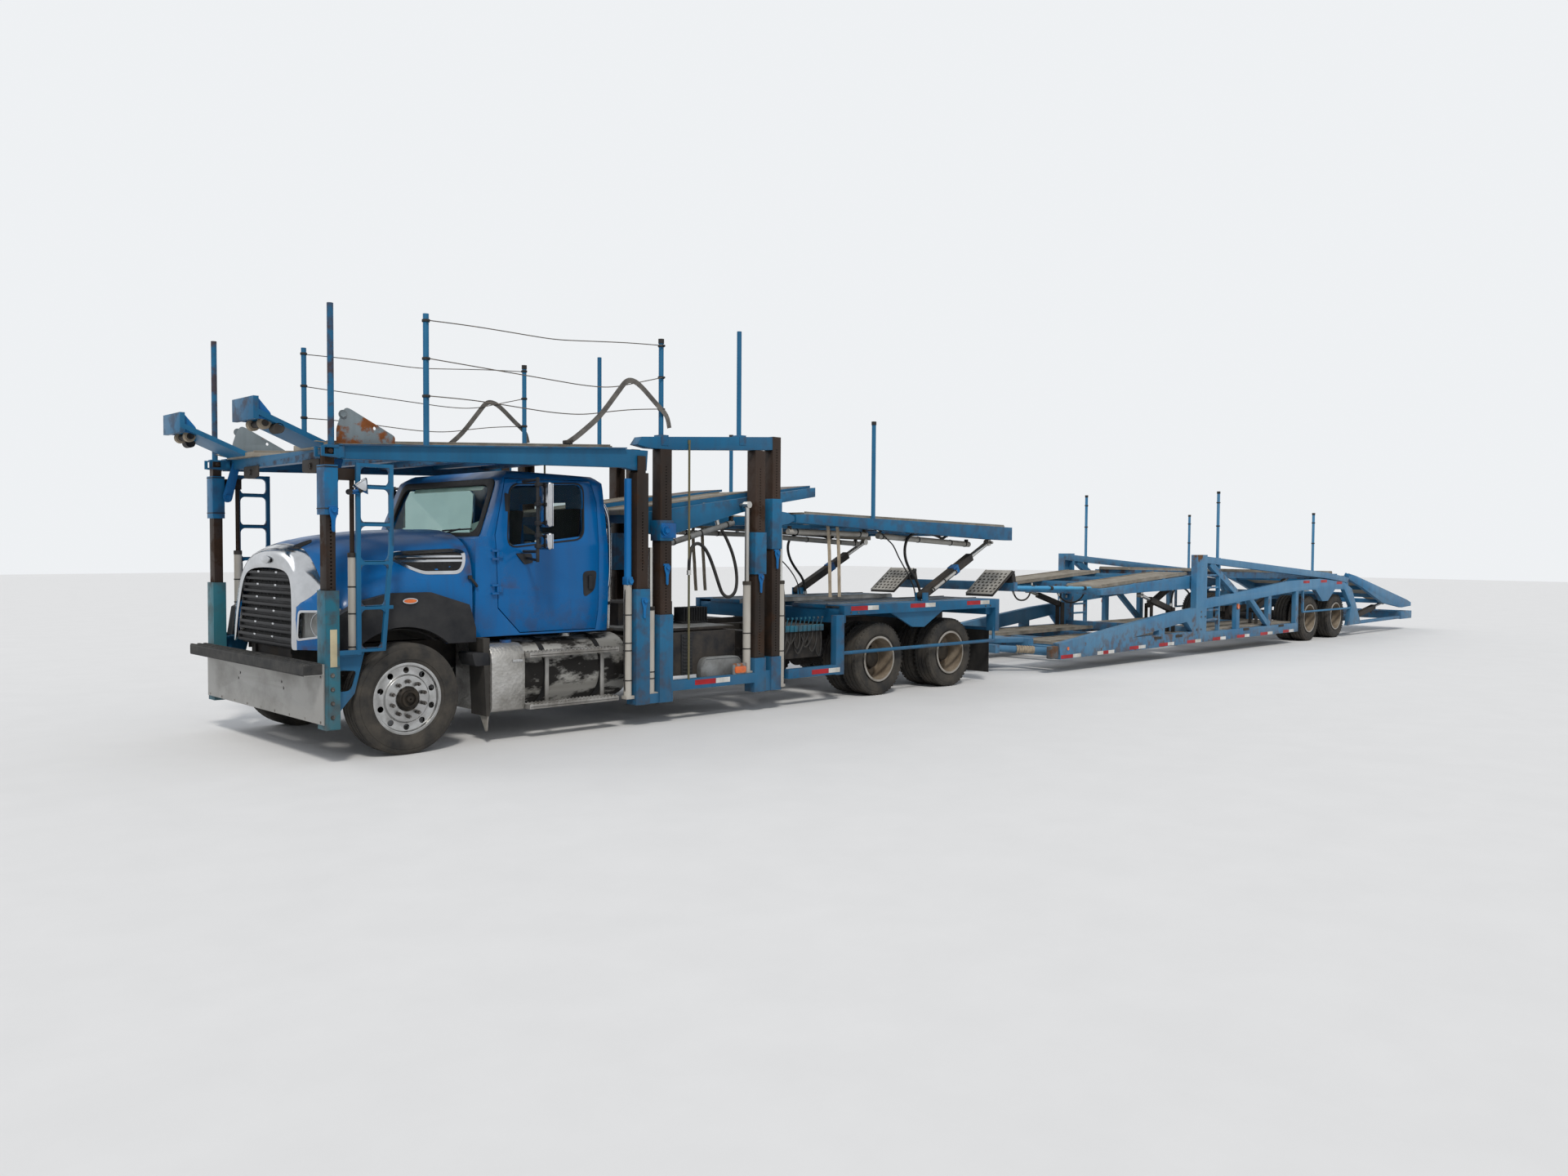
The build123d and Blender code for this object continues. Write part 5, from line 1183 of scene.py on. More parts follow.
def buildRack():
    d = stakeDetail
    x, y, top = d["corner"]
    corners = [addTube((x, y, 2440), (x, y, top), 24, 24, 4),
               addBlock((x - 50, x + 50), (y - 36, 1272), (2440, 2462), 4)]
    setBoth(corners, "cornerStakes", "head_rack", rackPaint)
    for key, body in (("front", "head_rack"), ("back", "root")):
        x, y, heights = d[key]
        rings = [part for z in heights for part in stakeRing(x, y, z)]
        setBoth(rings, "stakeRings_" + key, body, bandBlack)
    caps = [addTube((-2570, 1200, 3627), (-2570, 1200, 3670), 28, 20, 4)]
    setBoth(caps, "stakeCaps", "root", bandBlack)
    wires = []
    sags = ((50, 0.5), (150, 0.72), (105, 0.6))
    for (sag, low), first, last in zip(sags, d["front"][2], d["back"][2]):
        route = []
        for step in range(9):
            t = step / 8
            drop = sag * (t / low if t < low else (1 - t) / (1 - low))
            route.append((-150 - 2420 * t, 1236,
                          first + (last - first) * t - drop * (1 if sag > 140 else math.sin(math.pi * t))))
        wires.append(addHose(route, 4.5, 8))
    wires = setBoth(wires, "rackWires", "root", wireSteel)
    wires.parent = None
    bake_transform(wires)
    gusset = smoothPrism([(548, 2604), (508, 2728), (474, 2772), (440, 2764), (68, 2572), (72, 2476),
                          (548, 2476)], "Y",
                         (1092, 1106), 26)
    gusset = cutAway(gusset, addTube((240, 1080, 2625), (240, 1120, 2625), 14, 12, 0))
    pieces = [gusset] + bolt((500, 1106, 2716), (0, 1, 0), 26, 12)
    setBoth(pieces, "rackGussets", "head_rack", greyRust, 2)
    web = [(1110, 2644), (1104, 2800), (1010, 2690), (1010, 2640)]
    nose = [smoothPrism(web, "Y", (y - 4, y + 4), 12) for y in (640, 1000)]
    nose += [smoothPrism([(1128, 2806), (1146, 2812), (1148, 2800), (1130, 2794)], "Y", (604, 1026), 4)]
    setBoth(nose, "noseWebs", "head_rack", brightBlue, 2)
    rollers = [addTube((1040, 670, 2618), (1040, 970, 2618), 26, 20, 3),
               addTube((960, 930, 2580), (960, 1030, 2580), 40, 20, 6)]
    setBoth(rollers, "noseRollers", "head_rack", darkSteel)
    rolls = [addSpun([(-26, 22), (-26, 44), (-20, 47), (20, 47), (26, 44), (26, 22)], at(1040, y, 2618), 24)
             for y in (720, 940)]
    setBoth(rolls, "noseStrapRolls", "head_rack", tanWebbing)
    plate = [smoothPrism([(470, 2290), (470, 2385), (800, 2385), (800, 2290), (700, 2276), (560, 2276)],
                         "X", (548, 560), 20)]
    plate += bolt((560, 640, 2330), (1, 0, 0), 24, 14)
    setBoth(plate, "beamBrackets", "head_rack", darkSteel, 2)


def strapAlong(route, wide, name, body, material, across=(0, 1, 0)):
    # a flat strap along its route, given a real thickness
    points = [at(*place) for place in route]
    fine = []
    for index in range(len(points) - 1):
        before, here = points[max(index - 1, 0)], points[index]
        there, after = points[index + 1], points[min(index + 2, len(points) - 1)]
        for step in range(4):
            t = step / 4
            fine.append(0.5 * (2 * here + (there - before) * t + (2 * before - 5 * here + 4 * there - after)
                               * t * t + (3 * here - before - 3 * there + after) * t ** 3))
    fine.append(points[-1])
    clearSelection()
    bpy.ops.mesh.primitive_grid_add(x_subdivisions=1, y_subdivisions=len(fine) - 1, size=1)
    piece = bpy.context.object
    for index, vertex in enumerate(piece.data.vertices):
        row, column = divmod(index, 2)
        along = fine[min(row + 1, len(fine) - 1)] - fine[max(row - 1, 0)]
        side = Vector(across) if across else along.cross(Vector((0, 1, 0)))
        vertex.co = fine[row] + side.normalized() * wide / 2000 * (1 if column else -1)
    applied(piece, "SOLIDIFY", thickness=0.003, offset=0)
    piece = setIn([piece], name, body, material, smooth=40)
    return piece


def buildStraps():
    for name, side in sides:
        route = [(-2640, side * 1240, 2830), (-2600, side * 1242, 2945), (-2474, side * 1244, 3050),
                 (-2300, side * 1244, 3190), (-2200, side * 1244, 3234), (-2120, side * 1244, 3214),
                 (-2026, side * 1242, 3107), (-1833, side * 1236, 2880), (-1620, side * 1226, 2700),
                 (-1510, side * 1216, 2622)]
        strap = strapAlong(route, 50, "rackStrap_" + name, "root", webbing,
                           across=None)
        strap.parent = None
        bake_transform(strap)
        route = [(700, side * 1060, 2500), (560, side * 1130, 2484), (300, side * 1190, 2494),
                 (60, side * 1205, 2506), (-180, side * 1150, 2517), (-420, side * 1190, 2530)]
        strapAlong(route, 50, "shelfStrap_" + name, "head_rack", tanWebbing)
        buckle = [addBlock((-1545, -1470), (side * 1180, side * 1240), (2606, 2640), 8),
                  addTube((-1530, side * 1176, 2632),
                (-1530, side * 1248, 2632), 14, 12, 2)]
        setIn(buckle, "strapRatchet_" + name, "head_rack", darkSteel)


def buildHangingStraps():
    for name, side in sides:
        for x, label in ((-4945, "front"), (-5095, "back")):
            route = [(x, side * 1130, 1975), (x + 2, side * 1152, 1900), (x - 10, side * 1158, 1700),
                     (x - 24, side * 1154, 1500), (x - 34, side * 1150, 1300), (x - 44, side * 1146, 1150)]
            strapAlong(route, 50, "hangingStrap_" + label + "_" + name, "rear_deck", tanWebbing,
                       across=(1, 0, 0))


mirrorDetail = {"centre": (404, 1306, 2108), "axis": (-0.49, 0.28, -0.83), "radius": 108}


def buildFenderMirror():
    d = mirrorDetail
    r = d["radius"]
    shell = addSpun([(0, 0), (-3, r * 0.6), (2, r * 0.97), (8, r), (2, r + 4), (-8, r * 0.98),
                     (-30, r * 0.75), (-44, r * 0.35), (-48, 0)],
                    at(*d["centre"]), 36, d["axis"])
    setIn([shell], "ovalMirrorShell", "root", chromeSteel, smooth=50)
    glass = addSpun([(3, 0), (0, r * 0.6), (6, r * 0.96), (9, r * 0.96), (14, r * 0.6), (20, 0)],
                    at(*d["centre"]), 36, d["axis"])
    setIn([glass], "ovalMirrorGlass", "root", finish("mirrorGlass"), smooth=60)
    arm = [addBlock((445, 535), (1262, 1272), (2092, 2124), 4),
           addTube((520, 1267, 2108), (440, 1300, 2130), 11, 12, 2)]
    setIn(arm, "ovalMirrorArm", "root", brightBlue, 1)
    knob = [addTube((455, 1284, 2120), (425, 1300, 2140), 24, 16, 6),
            addTube((528, 1258, 2108), (528, 1290, 2108), 22, 16, 4)]
    setIn(knob, "ovalMirrorKnob", "root", bandBlack)


buildBumper()
buildFrontPosts()
buildPostDetail()
buildRack()
buildStraps()
buildHangingStraps()
buildFenderMirror()
print("front end, posts and rack detailed")


# decks, hoses, tape and the trailer

def within(corners, low, high):
    # true for a face that lies on one side, between two distances from the middle
    reach = [corner.y * 1000 for corner in corners]
    return (low <= min(reach) and max(reach) <= high) or (low <= -max(reach) and -min(reach) <= high)


def spanX(corners, low, high):
    return all(low <= corner.x * 1000 - frontAxle <= high for corner in corners)


deckRows = (
    # node, body, tread's first and last x, its edges across, height at the first and last x, finish
    ("head_rack", "head_rack", 600, -2100, (450, 1035), (2499, 2639), treadSteel),
    ("mid_deck", "mid_deck", -2320, -3960, (450, 1008), (2048, 2282), treadSteel),
    ("rear_deck", "rear_deck", -4580, -8240, (450, 1151), (2073, 1988), treadSteel),
    ("tandem_deck", "root", -5120, -7890, (450, 981), (1060, 1060), greySteel),
    ("trailer_front_deck", "trailer_front_deck", -10780, -13330, (500, 1080), (1168, 1326), treadSteel),
    ("trailer_back_deck", "trailer_back_deck", -14320, -19280, (500, 1068), (1369, 1275), treadSteel),
    ("rear_ramp", "rear_ramp", -20020, -22870, (500, 1201), (1181, 643), treadSteel),
    ("trailer_treads", "trailer", -9720, -13080, (450, 930), (400, 400), treadSteel),
    ("trailer_treads", "trailer", -13720, -17110, (450, 930), (400, 400), treadSteel))


def buildTreads():
    for node, body, first, last, (inner, outer), (zFirst, zLast), material in deckRows:
        if node in dressed:
            low, high = sorted((first, last))
            paintWhere(dressed[node], material, lambda centre,
                       corners: within(corners, inner - 5, outer + 5)
                       and spanX(corners, low - 60, high + 60))
        lean = Matrix.Rotation(-math.atan2(zLast - zFirst, last - first), 4, "Y")
        count = int(abs(last - first) / 105)
        rib = sidePrism([(x - frontAxle, z) for x, z in ((-16, -2), (-10, 5), (10, 5), (16, -2))],
                        (inner + 25, outer - 25))
        ribs = []
        for place in range(count + 1):
            t = place / count
            x, z = first + (last - first) * t, zFirst + (zLast - zFirst) * t
            ribs.append(movedCopy(rib, Matrix.Translation(at(x, 0, z)) @ lean))
        bpy.data.objects.remove(rib)
        lip = [(first, zFirst - 2), (first, zFirst + 12), (last, zLast + 12), (last, zLast - 2)]
        lips = [sidePrism(lip, (y, y + 12)) for y in (inner, outer - 12)]
        setBoth(ribs + lips, node + "Ribs" + str(abs(first)), body, material, smooth=25)


rampDetail = {"foot": (-8150, 1099), "head": (-8590, 1401), "y": (622, 1048), "holeStep": 66,
              "holeRadius": 20}


def buildRamps():
    d = rampDetail
    foot, head = Vector((d["foot"][0], 0, d["foot"][1])), Vector((d["head"][0], 0, d["head"][1]))
    along = (head - foot).normalized()
    out = Vector((along.z, 0, -along.x))
    corners = [foot - out, head - out, head + out * 8, foot + out * 8]
    plate = sidePrism([(corner.x, corner.z) for corner in corners], d["y"])
    holes = []
    for row in range(7):
        for column in range(6):
            shift = 30 if row % 2 else 0
            y = d["y"][0] + 40 + column * d["holeStep"] + shift * 0.5
            middle = foot + along * (52 + row * d["holeStep"])
            start, end = middle - out * 4, middle + out * 20
            holes.append(addTube((start.x, y, start.z), (end.x, y, end.z), d["holeRadius"], 10, 0))
    plate = cutAway(plate, joined(holes))
    edges = []
    for y in (d["y"][0], d["y"][1] - 8):
        rim = [foot - out * 26, head - out * 26, head + out * 14, foot + out * 14]
        edges.append(sidePrism([(corner.x, corner.z) for corner in rim], (y, y + 8)))
    setBoth([plate] + edges, "rampPlates", "trailer_front_deck", rampSteel, smooth=25)
    deck = dressed["trailer_front_deck"]
    # painted shade: the deck under the perforated ramp plates is painted dark, so that the holes in them
    # look shaded
    paintWhere(deck, darkSteel, lambda centre, corners: within(corners, 615, 1055)
               and spanX(corners, -8700, -8100))
    paintWhere(deck, slideBlue, lambda centre, corners: within(corners, 570, 930)
               and spanX(corners, -11700, -8645))
    collars = [addTube((x, y, 1170 - (x + 8650) * -0.022), (x - 60, y, 1170 - (x + 8650) * -0.022 - 1), 30,
                       20, 3)
               for x in (-8700, -9700, -10560) for y in (600, 900)]
    setBoth(collars, "slideCollars", "trailer_front_deck", darkSteel)


tapeRows = (
    # body, height, and the ends of each red or white length
    ("root", 371, (("r", -2946, -3215), ("w", -3217, -3404))),
    ("root", 357, (("r", -4582, -4842), ("w", -4845, -5023))),
    ("root", 1022, (("r", -5199, -5476), ("w", -5479, -5662), ("r", -6226, -6498), ("w", -6502, -6692),
                    ("r", -7313, -7588), ("w", -7591, -7778))),
    ("trailer", 222, (("r", -9431, -9731), ("w", -9733, -9936), ("w", -10366, -10523),
                      ("r", -10526, -10662), ("w", -10666, -10823))),
    ("trailer", 243, (("r", -11252, -11516), ("w", -11520, -11722), ("r", -12130, -12399),
                      ("w", -12404, -12597), ("r", -13020, -13288), ("w", -13292, -13485),
                      ("r", -13895, -14154), ("w", -14158, -14355), ("r", -14769, -15056),
                      ("w", -15060, -15242), ("r", -15671, -15958), ("w", -15961, -16161),
                      ("r", -16599, -16840), ("w", -16848, -17056))),
    ("trailer", 1110, (("r", -17439, -17713), ("r", -18235, -18523))),
    ("trailer", 1066, (("r", -18999, -19265), )))


def buildTape():
    strips = {}
    for body, z, lengths in tapeRows:
        for colour, first, last in lengths:
            strip = addBlock((last, first), (1269, 1271.5), (z - 25, z + 25), 0.6, 1)
            strips.setdefault((body, colour), []).append(strip)
    for (body, colour), pieces in strips.items():
        setBoth(pieces, "tape_" + colour + "_" + body, body, redTape if colour == "r" else whiteTape)


hoseRows = {
    # name: body, body it bends to, where the bend starts and ends, radius, length in metres, far end, route
    "bayHose": ("mid_deck", "root", (-3500, 1050, 1850), (-2930, 1250, 1640), 17, 2.05, "fitting",
                [(-3412, 1050, 1968), (-3450, 1051, 1905), (-3530, 1062, 1790), (-3600, 1078, 1640),
                 (-3640, 1092, 1480), (-3641, 1106, 1330), (-3600, 1120, 1225), (-3500, 1135, 1180),
                 (-3400, 1150, 1222), (-3340, 1162, 1330), (-3260, 1178, 1490), (-3180, 1196, 1620),
                 (-3095, 1214, 1705), (-2995, 1236, 1740), (-2908, 1254, 1700), (-2870, 1262, 1590),
                 (-2870, 1262, 1440)]),
    "legHose": ("rear_deck", "root", (-6600, 1000, 1850), (-6740, 985, 1160), 17, 1.69, "object",
                [(-6760, 985, 1074), (-6752, 984, 1160), (-6700, 982, 1290), (-6560, 984, 1420),
                 (-6455, 990, 1560), (-6428, 1000, 1710), (-6490, 1000, 1830), (-6629, 995, 1878),
                 (-6850, 985, 1885), (-7080, 975, 1850), (-7230, 962, 1800), (-7290, 960, 1868)]),
    "thinHose": ("rear_deck", "root", (-5900, 1190, 1880), (-6660, 1000, 1160), 8, 1.34, "object",
                 [(-5700, 1190, 1897), (-5790, 1186, 1865), (-5896, 1180, 1800), (-6031, 1150, 1740),
                  (-6141, 1100, 1680), (-6260, 1050, 1590), (-6400, 1012, 1480), (-6540, 996, 1340),
                  (-6640, 994, 1190), (-6660, 990, 1074)]),
    "trailerHose": ("trailer", None, None, None, 14, 0.78, "object",
                    [(-12964, 1010, 800), (-12985, 1012, 900), (-13010, 1020, 1010), (-13060, 1030, 1070),
                     (-13180, 1045, 1095), (-13300, 1080, 1070), (-13370, 1130, 980), (-13385, 1160, 860)]),
    "deckHose": ("trailer_front_deck", None, None, None, 13, 0.81, "object",
                 [(-10700, 400, 1030), (-10760, 410, 960), (-10860, 425, 905), (-11000, 440, 885),
                  (-11150, 455, 905), (-11280, 475, 990), (-11335, 490, 1140)]),
}


def hoseLine(route):
    # points read from the hose's own smooth line
    line = smoothLine(route, 8)
    mesh = bpy.data.meshes.new_from_object(line)
    points = [tuple(vertex.co) for vertex in mesh.vertices]
    bpy.data.objects.remove(line)
    return points


def buildHoses():
    ends = {"root": [(-2870, 1262, 1425, -2870, 1262, 1470, 22), (-6760, 985, 1058, -6758, 985, 1112, 22)],
            "mid_deck": [(-3410, 1050, 1975, -3425, 1050, 1925, 22)],
            "rear_deck": [(-7290, 960, 1878, -7278, 960, 1834, 22),
                          (-5694, 1190, 1900, -5730, 1189, 1887, 13)],
            "trailer": [(-13386, 1162, 845, -13383, 1156, 890, 19)],
            "front_deck_barrels": [(-12962, 1010, 790, -12972, 1011, 840, 19)],
            "trailer_front_deck": [(-10695, 398, 1038, -10718, 402, 1000, 18),
                                   (-11338, 492, 1152, -11330, 488, 1112, 18)]}
    fittings = {body: setBoth([addTube(place[:3], place[3:6], place[6], 12, 2) for place in places],
                            "hoseFittings_" + body, body, rodSteel) for body, places in ends.items()
                            if body != "root"}
    for label, side in sides:
        for count, place in enumerate(ends["root"]):
            tube = addTube((place[0], place[1] * side, place[2]), (place[3], place[4] * side, place[5]),
                           place[6], 12, 2)
            fittings[label + str(count)] = setIn([tube], "hoseFitting" + str(count) + "_" + label, "root",
                                                 rodSteel)
    for key, (body, other, bendStart, bendEnd, radius, length, far, route) in hoseRows.items():
        for label, side in sides:
            sided = [(x, y * side, z) for x, y, z in route]
            hose = setIn([addHose(sided, radius, 12)], key + "_" + label, body, hoseRubber, smooth=60)
            if other:
                hose.parent = None
                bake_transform(hose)
            hoseLine(sided)


cylinderRows = (
    # body, start, end, radius and how far along its bands lie
    ("mid_deck", (-2760, 1050, 1722), (-3630, 1050, 1948), 30, (0.1, 0.32, 0.5, 0.9)),
    ("rear_deck", (-5994, 950, 1836), (-7760, 950, 1746), 34, (0.04, 0.42, 0.78, 0.95)),
    ("rear_deck", (-4520, 950, 1870), (-5800, 950, 1850), 30, (0.1, 0.5, 0.9)))


def tubeBands(start, end, radius, places):
    first, last = Vector(start), Vector(end)
    way = (last - first).normalized()
    bands = []
    for place in places:
        middle = first + (last - first) * place
        bands.append(addTube(middle - way * 8, middle + way * 8, radius + 4, 20, 2))
    return bands


def buildCylinders():
    for index, (body, start, end, radius, places) in enumerate(cylinderRows):
        tube = [addTube(start, end, radius, 20, 4)]
        setBoth(tube, "deckCylinder" + str(index), body, cylinderPaint if index else greySteel)
        setBoth(tubeBands(start, end, radius, places), "deckCylinderBands" + str(index), body, bandBlack)
        hangers = []
        for place in (0.02, 0.97):
            middle = Vector(start) + (Vector(end) - Vector(start)) * place
            up = 75 if body == "mid_deck" else 60
            hangers.append(addBlock((middle.x - 14, middle.x + 14), (start[1] - 22, start[1] + 22),
                                    (middle.z, middle.z + up), 3))
        setBoth(hangers, "deckCylinderHangers" + str(index), body, darkSteel)
    along = Vector((-1320, 0, 645)).normalized()
    out = Vector((along.z, 0, -along.x))
    foot = Vector((-6690, 1060, 1125))
    middle = foot + along * 690
    clamp = [(middle + along * a + out * b) for a, b in ((-50, -52), (50, -52), (50, 52), (-50, 52))]
    clamp = [sidePrism([(corner.x, corner.z) for corner in clamp], (1008, 1112))]
    clamp += [addTube(middle + Vector((0, 52, 0)), middle + Vector((0, 66, 0)), 26, 16, 3)]
    setBoth(clamp, "legClamps", "rear_leg_barrels", brightBlue, 4)
    side = Vector((0, 62, 0))
    start, end = foot + along * 130 + side, foot + along * 650 + side
    setBoth([addTube(start, end, 24, 18, 4)], "legCylinders", "rear_leg_barrels", rodSteel)
    setBoth(tubeBands(start, end, 24, (0.05, 0.5, 0.97)), "legCylinderBands", "rear_leg_barrels", bandBlack)


def buildMachinery():
    block = dressNode("machinery", darkSteel, 0.004)
    stack = at(-2260, 0, 0).x
    paintWhere(block, polishedAlloy, lambda centre, corners: abs(centre.x - stack) < 0.075
               and centre.z > 0.95)
    paintWhere(block, greySteel, lambda centre, corners: spanX(corners, -3710, -2510)
               and 0.855 < centre.z < 0.9 and abs(centre.y) < 1.02 and not within(corners, 425, 1105))
    cover = smoothPrism([(-3110, 366), (-3110, 520), (-3160, 596), (-3600, 592), (-3655, 540),
                         (-3655, 366)], "Y", (1090, 1165), 60)
    lip = smoothPrism([(-3116, 512), (-3164, 588), (-3596, 584), (-3649, 534), (-3649, 528), (-3600, 574),
                       (-3168, 578), (-3122, 506)], "Y", (1160, 1172), 8)
    setBoth([cover, lip], "bayCovers", "root", greySteel, 3)
    panel = [addBlock((-3045, -2905), (1098, 1112), (430, 836), 5)]
    panel += stamped(addBlock((-3030, -2920), (1110, 1120), (0, 16), 3),
                     [(0, 0, z) for z in range(455, 820, 34)])
    setBoth(panel, "ribbedPanels", "root", blackPlastic)
    fins = stamped(addBlock((-6, 6), (368, 540), (905, 1060), 2),
                   [(x, 0, 0) for x in range(-3720, -3380, 34)])
    fins.append(addBlock((-3745, -3390), (372, 536), (892, 914), 4))
    setBoth(fins, "coolerFins", "root", blackPlastic)
    valveXs = range(-4860, -4330, 66)
    valve = joined([addBlock((-28, 28), (1098, 1150), (790, 858), 6),
                    addTube((0, 1128, 850), (0, 1150, 930), 6, 8, 2),
                    addTube((0, 1150, 926), (0, 1152, 944), 12, 10, 4)])
    valves = stamped(valve, [(x, 0, 0) for x in valveXs])
    setBoth(valves, "valveBank", "root", tealPost, smooth=40)
    pipes = []
    for count, x in enumerate(valveXs):
        drop = 520 + (count * 53) % 170
        reach = 60 + (count * 37) % 90
        pipes.append(addHose([(x, 1124, 795), (x + 4, 1140, 740), (x + reach * 0.5, 1162, drop + 60),
                              (x + reach, 1158, drop - 20), (x + reach * 1.3, 1140, drop + 30),
                              (x + reach * 1.1, 1106, drop + 110)], 9, 8))
    setBoth(pipes, "valvePipes", "root", hoseRubber, smooth=60)
    rod = [addTube((-2870, 1262, 405), (-2870, 1262, 2712), 11, 14, 3),
           addTube((-2870, 1258, 2690), (-2870, 1258, 2730), 16, 14, 4)]
    setBoth(rod, "bronzeRods", "root", bronzeGreen)
    lamp = [addBlock((-3640, -3452), (1240, 1266), (408, 522), 8)]
    setBoth(lamp, "lampBoxes", "root", greyRust)
    lens = [smoothPrism([(-3622, 424), (-3622, 492), (-3470, 492), (-3470, 424)], "Y", (1260, 1276), 26)]
    setBoth(lens, "amberLenses", "root", finish("amberGlass"), 4)
    fender = [smoothPrism([(-585, 792), (-750, 788), (-778, 676), (-618, 673)], "Y", (905, 1152), 26)]
    setBoth(fender, "lowerFenders", "root", blackPlastic, 8)
    tip = [addPlate([at(-738, y, z) for y, z in ((1004, 252), (1150, 252), (1132, 112), (1104, 104))],
                    (-0.008, 0, 0))]
    setBoth(tip, "flapTips", "root", finish("steelRim"), 1.5)


def buildTrailer():
    lamps = [addTube((-14790, 1262, 745), (-14790, 1282, 745), 42, 20, 5),
             addTube((-9600, 1268, 330), (-9600, 1280, 330), 24, 16, 4)]
    setBoth(lamps, "trailerLamps", "trailer", finish("amberGlass"))
    plates = [addBlock((-14840, -14740), (1260, 1266), (690, 800), 6)]
    plates += [addBlock((-9385, -9210), (1178, 1266), (207, 376), 14),
               addTube((-9330, 1140, 292), (-9330, 1180, 292), 52, 20, 6)]
    setBoth(plates, "trailerBlocks", "trailer", rustBrown, 2)
    first, last = Vector((-9510, 1069, 292)), Vector((-8880, 539, 331))
    way = last - first
    boot = []
    for ring in range(14):
        middle = first + way * (0.3 + ring * 0.022)
        boot.append(addTube(middle, middle + way * 0.02, 50 + (6 if ring % 2 else 0), 20, 3))
    setBoth(boot, "ramBoots", "trailer", tanWebbing)
    pieces = []
    for x, top in ((-14100, 2640), (-17950, 2380)):
        pieces.append(addTube((x, 1222, top - 34), (x, 1222, top + 3), 28, 20, 5))
        for z in (top - 180, top - 560):
            pieces.append(addSpun([(-9, 22), (-9, 29), (-5, 32), (5, 32), (9, 29), (9, 22)], at(x, 1222, z),
                                  18, (0, 0, 1)))
    setBoth(pieces, "trailerStakeRings", "trailer", bandBlack)
    deck = [addTube((-5620, 1210, 3084), (-5620, 1210, 3123), 28, 20, 5)]
    setBoth(deck, "deckStakeCaps", "rear_deck", bandBlack)
    # painted shade: dark pads stand for the tie slots' openings, which are not cut into the side rail
    pads = []
    for x in (-11980, -12640, -15000, -16400):
        pads.append(smoothPrism([(x, 372), (x, 330), (x - 220, 330), (x - 220, 372)], "Y", (1264, 1274),
                                10))
    setBoth(pads, "tieSlots", "trailer", darkSteel, 2)
    beam = dressed["trailer_frame"]
    sockets = [addTube((-23215, y, 315), (-23186, y, 315), 52, 20, 0) for y in (560, 760, 1120)]
    cutAway(beam, joined(bothSides(sockets)))
    lenses = [addSpun([(0, 0), (0, 48), (-5, 49), (-10, 40), (-12, 0)], at(-23187, y, 315), 24, (1, 0, 0))
              for y in (560, 760, 1120)]
    setBoth(lenses, "tailLenses", "trailer", redGlass)
    bolts = []
    for x, z in ((-13480, 420), (-13480, 620), (-13480, 700), (-13340, 420), (-13620, 620)):
        bolts += bolt((x, 1270, z), (0, 1, 0), 12, 9)
    setBoth(bolts, "trailerBolts", "trailer", finish("nutSteel"))
    deckBolts = [part for x in (-5200, -5320, -7800, -7700)
                 for part in bolt((x, 1270, 975), (0, 1, 0), 9, 7)]
    setBoth(deckBolts, "deckBolts", "root", finish("nutSteel"))
    paintWhere(dressed["mid_deck"], rustBrown, lambda centre, corners: spanX(corners, -4900, -3940)
               and abs(centre.y) > 0.44)


buildTreads()
buildRamps()
buildTape()
buildHoses()
buildCylinders()
buildMachinery()
buildTrailer()
print("decks and trailer detailed")


# floor, light and camera

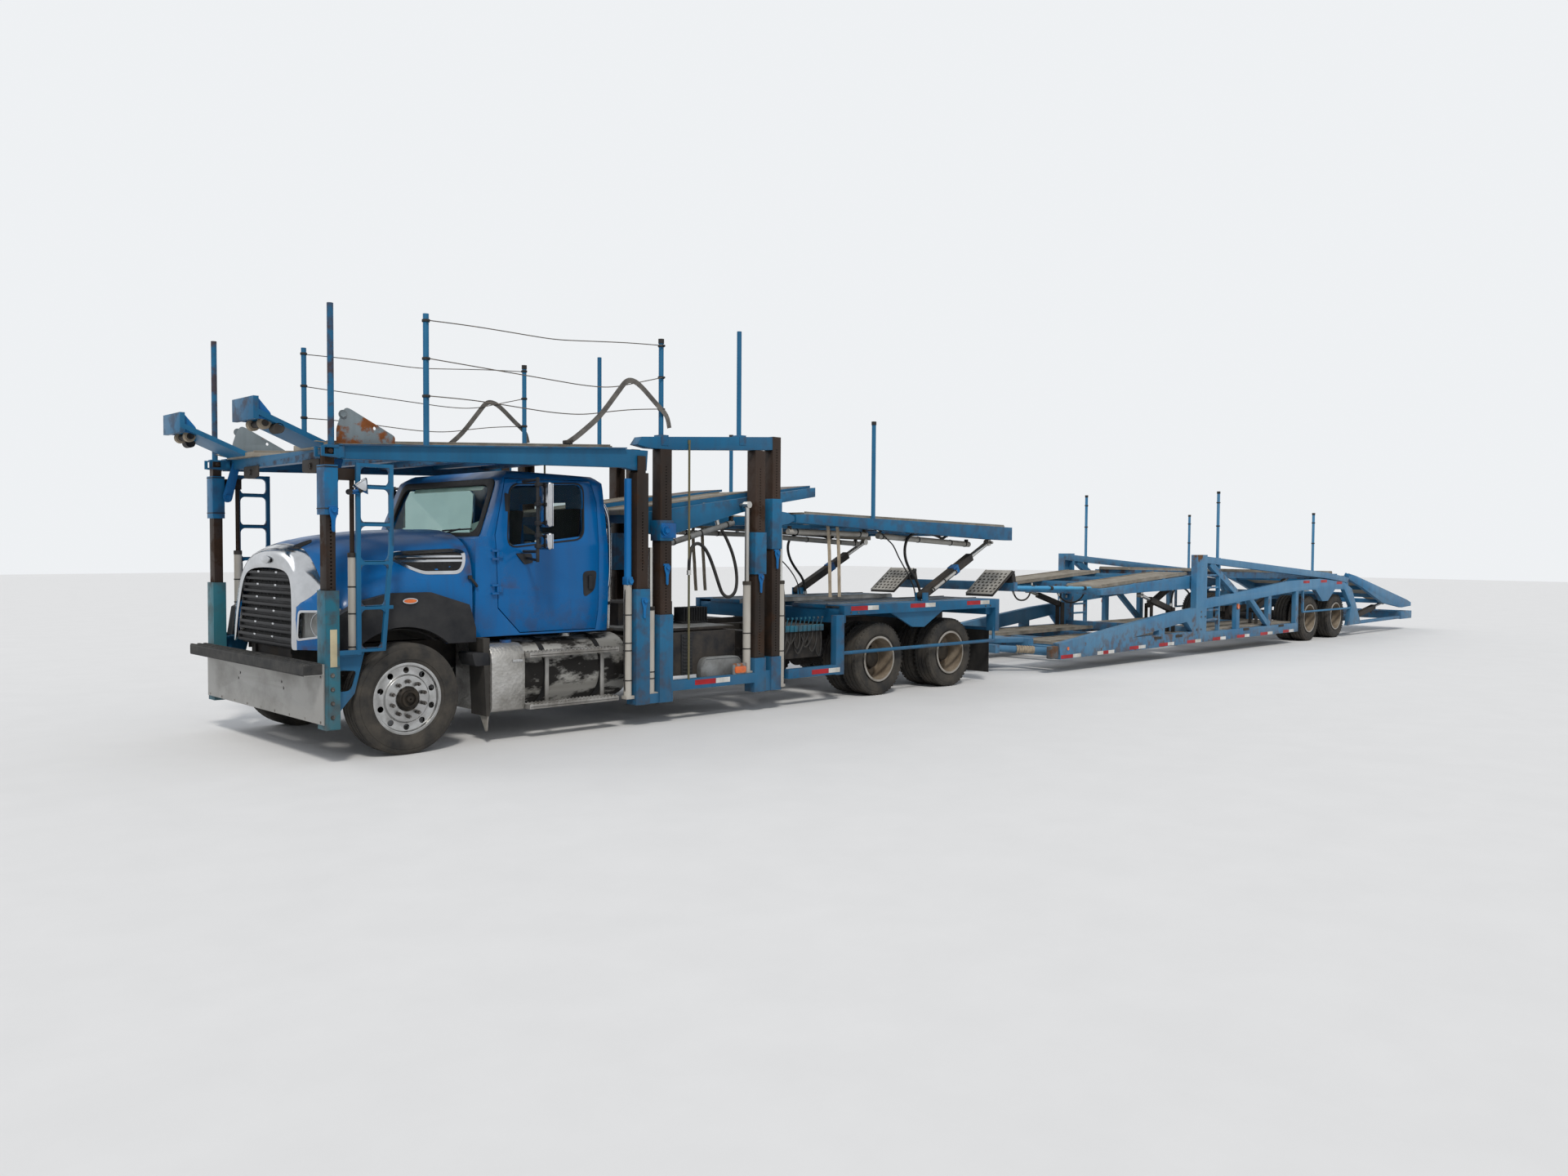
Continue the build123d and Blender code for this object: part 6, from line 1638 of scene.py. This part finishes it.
stage = {"floorSize": 120.0, "skyStrength": 0.62, "sunStrength": 1.7}
clearSelection()
bpy.ops.mesh.primitive_plane_add(size=stage["floorSize"], location=(0, 0, 0))
floor = bpy.context.object
floor.name = "studioFloor"
floorPaint = plainFinish("floorPaint", (0.68, 0.68, 0.68), (0.7, 0.7, 0.7), 0.85, 0.0, 2.0, bump=0.02)
floor.data.materials.append(floorPaint)
world = bpy.data.worlds.new("studioSky")
bpy.context.scene.world = world
world.use_nodes = True
tree = world.node_tree
sky = tree.nodes["Background"]
feed(tree, sky, {"Color": (0.9, 0.94, 1.0, 1), "Strength": stage["skyStrength"]})
backdrop = addNode(tree, "Background", {"Color": (0.86, 0.88, 0.9, 1)})
rays = addNode(tree, "LightPath", {}).outputs
mirrorRays = combine(tree, "ADD", rays["Is Glossy Ray"], rays["Is Transmission Ray"])
seen = combine(tree, "ADD", rays["Is Camera Ray"], mirrorRays)
choice = addNode(tree, "MixShader", {0: seen, 1: sky.outputs[0], 2: backdrop.outputs[0]})
feed(tree, tree.nodes["World Output"], {"Surface": choice.outputs[0]})
lightRows = (
    # turn about each axis and width in degrees, strength, colour
    ((38, -12, 160), 9, stage["sunStrength"], (1.0, 0.96, 0.9)), ((55, 0, 35), 40, 0.5, (1, 1, 1)))
for turn, width, strength, colour in lightRows:
    bpy.ops.object.light_add(type="SUN", location=(0, 0, 20),
                             rotation=[math.radians(angle) for angle in turn])
    sun = bpy.context.object.data
    sun.energy, sun.angle, sun.color = strength, math.radians(width), colour

shot = {"x": 4528, "y": 10152, "z": 1717, "yaw": 44.35, "pitch": 2.05, "roll": 0.366, "focal": 1453.9,
        "width": 1920}
yaw, pitch, roll = (math.radians(shot[key]) for key in ("yaw", "pitch", "roll"))
forward = Vector((-math.sin(yaw) * math.cos(pitch), -math.cos(yaw) * math.cos(pitch), -math.sin(pitch)))
right = forward.cross(Vector((0, 0, 1))).normalized()
up = right.cross(forward)
rightRolled = right * math.cos(roll) + up * math.sin(roll)
upRolled = up * math.cos(roll) - right * math.sin(roll)
lens = bpy.data.cameras.new("shotCamera")
lens.sensor_width = 36
lens.lens = shot["focal"] / shot["width"] * 36
lens.clip_end = 300
camera = bpy.data.objects.new("shotCamera", lens)
bpy.context.scene.collection.objects.link(camera)
camera.matrix_world = Matrix((
    (rightRolled.x, upRolled.x, -forward.x, at(shot["x"], 0, 0).x),
    (rightRolled.y, upRolled.y, -forward.y, shot["y"] / 1000),
    (rightRolled.z, upRolled.z, -forward.z, shot["z"] / 1000),
    (0, 0, 0, 1)))
bpy.context.scene.camera = camera
bpy.context.scene.view_settings.view_transform = "Standard"

print("scene finished")
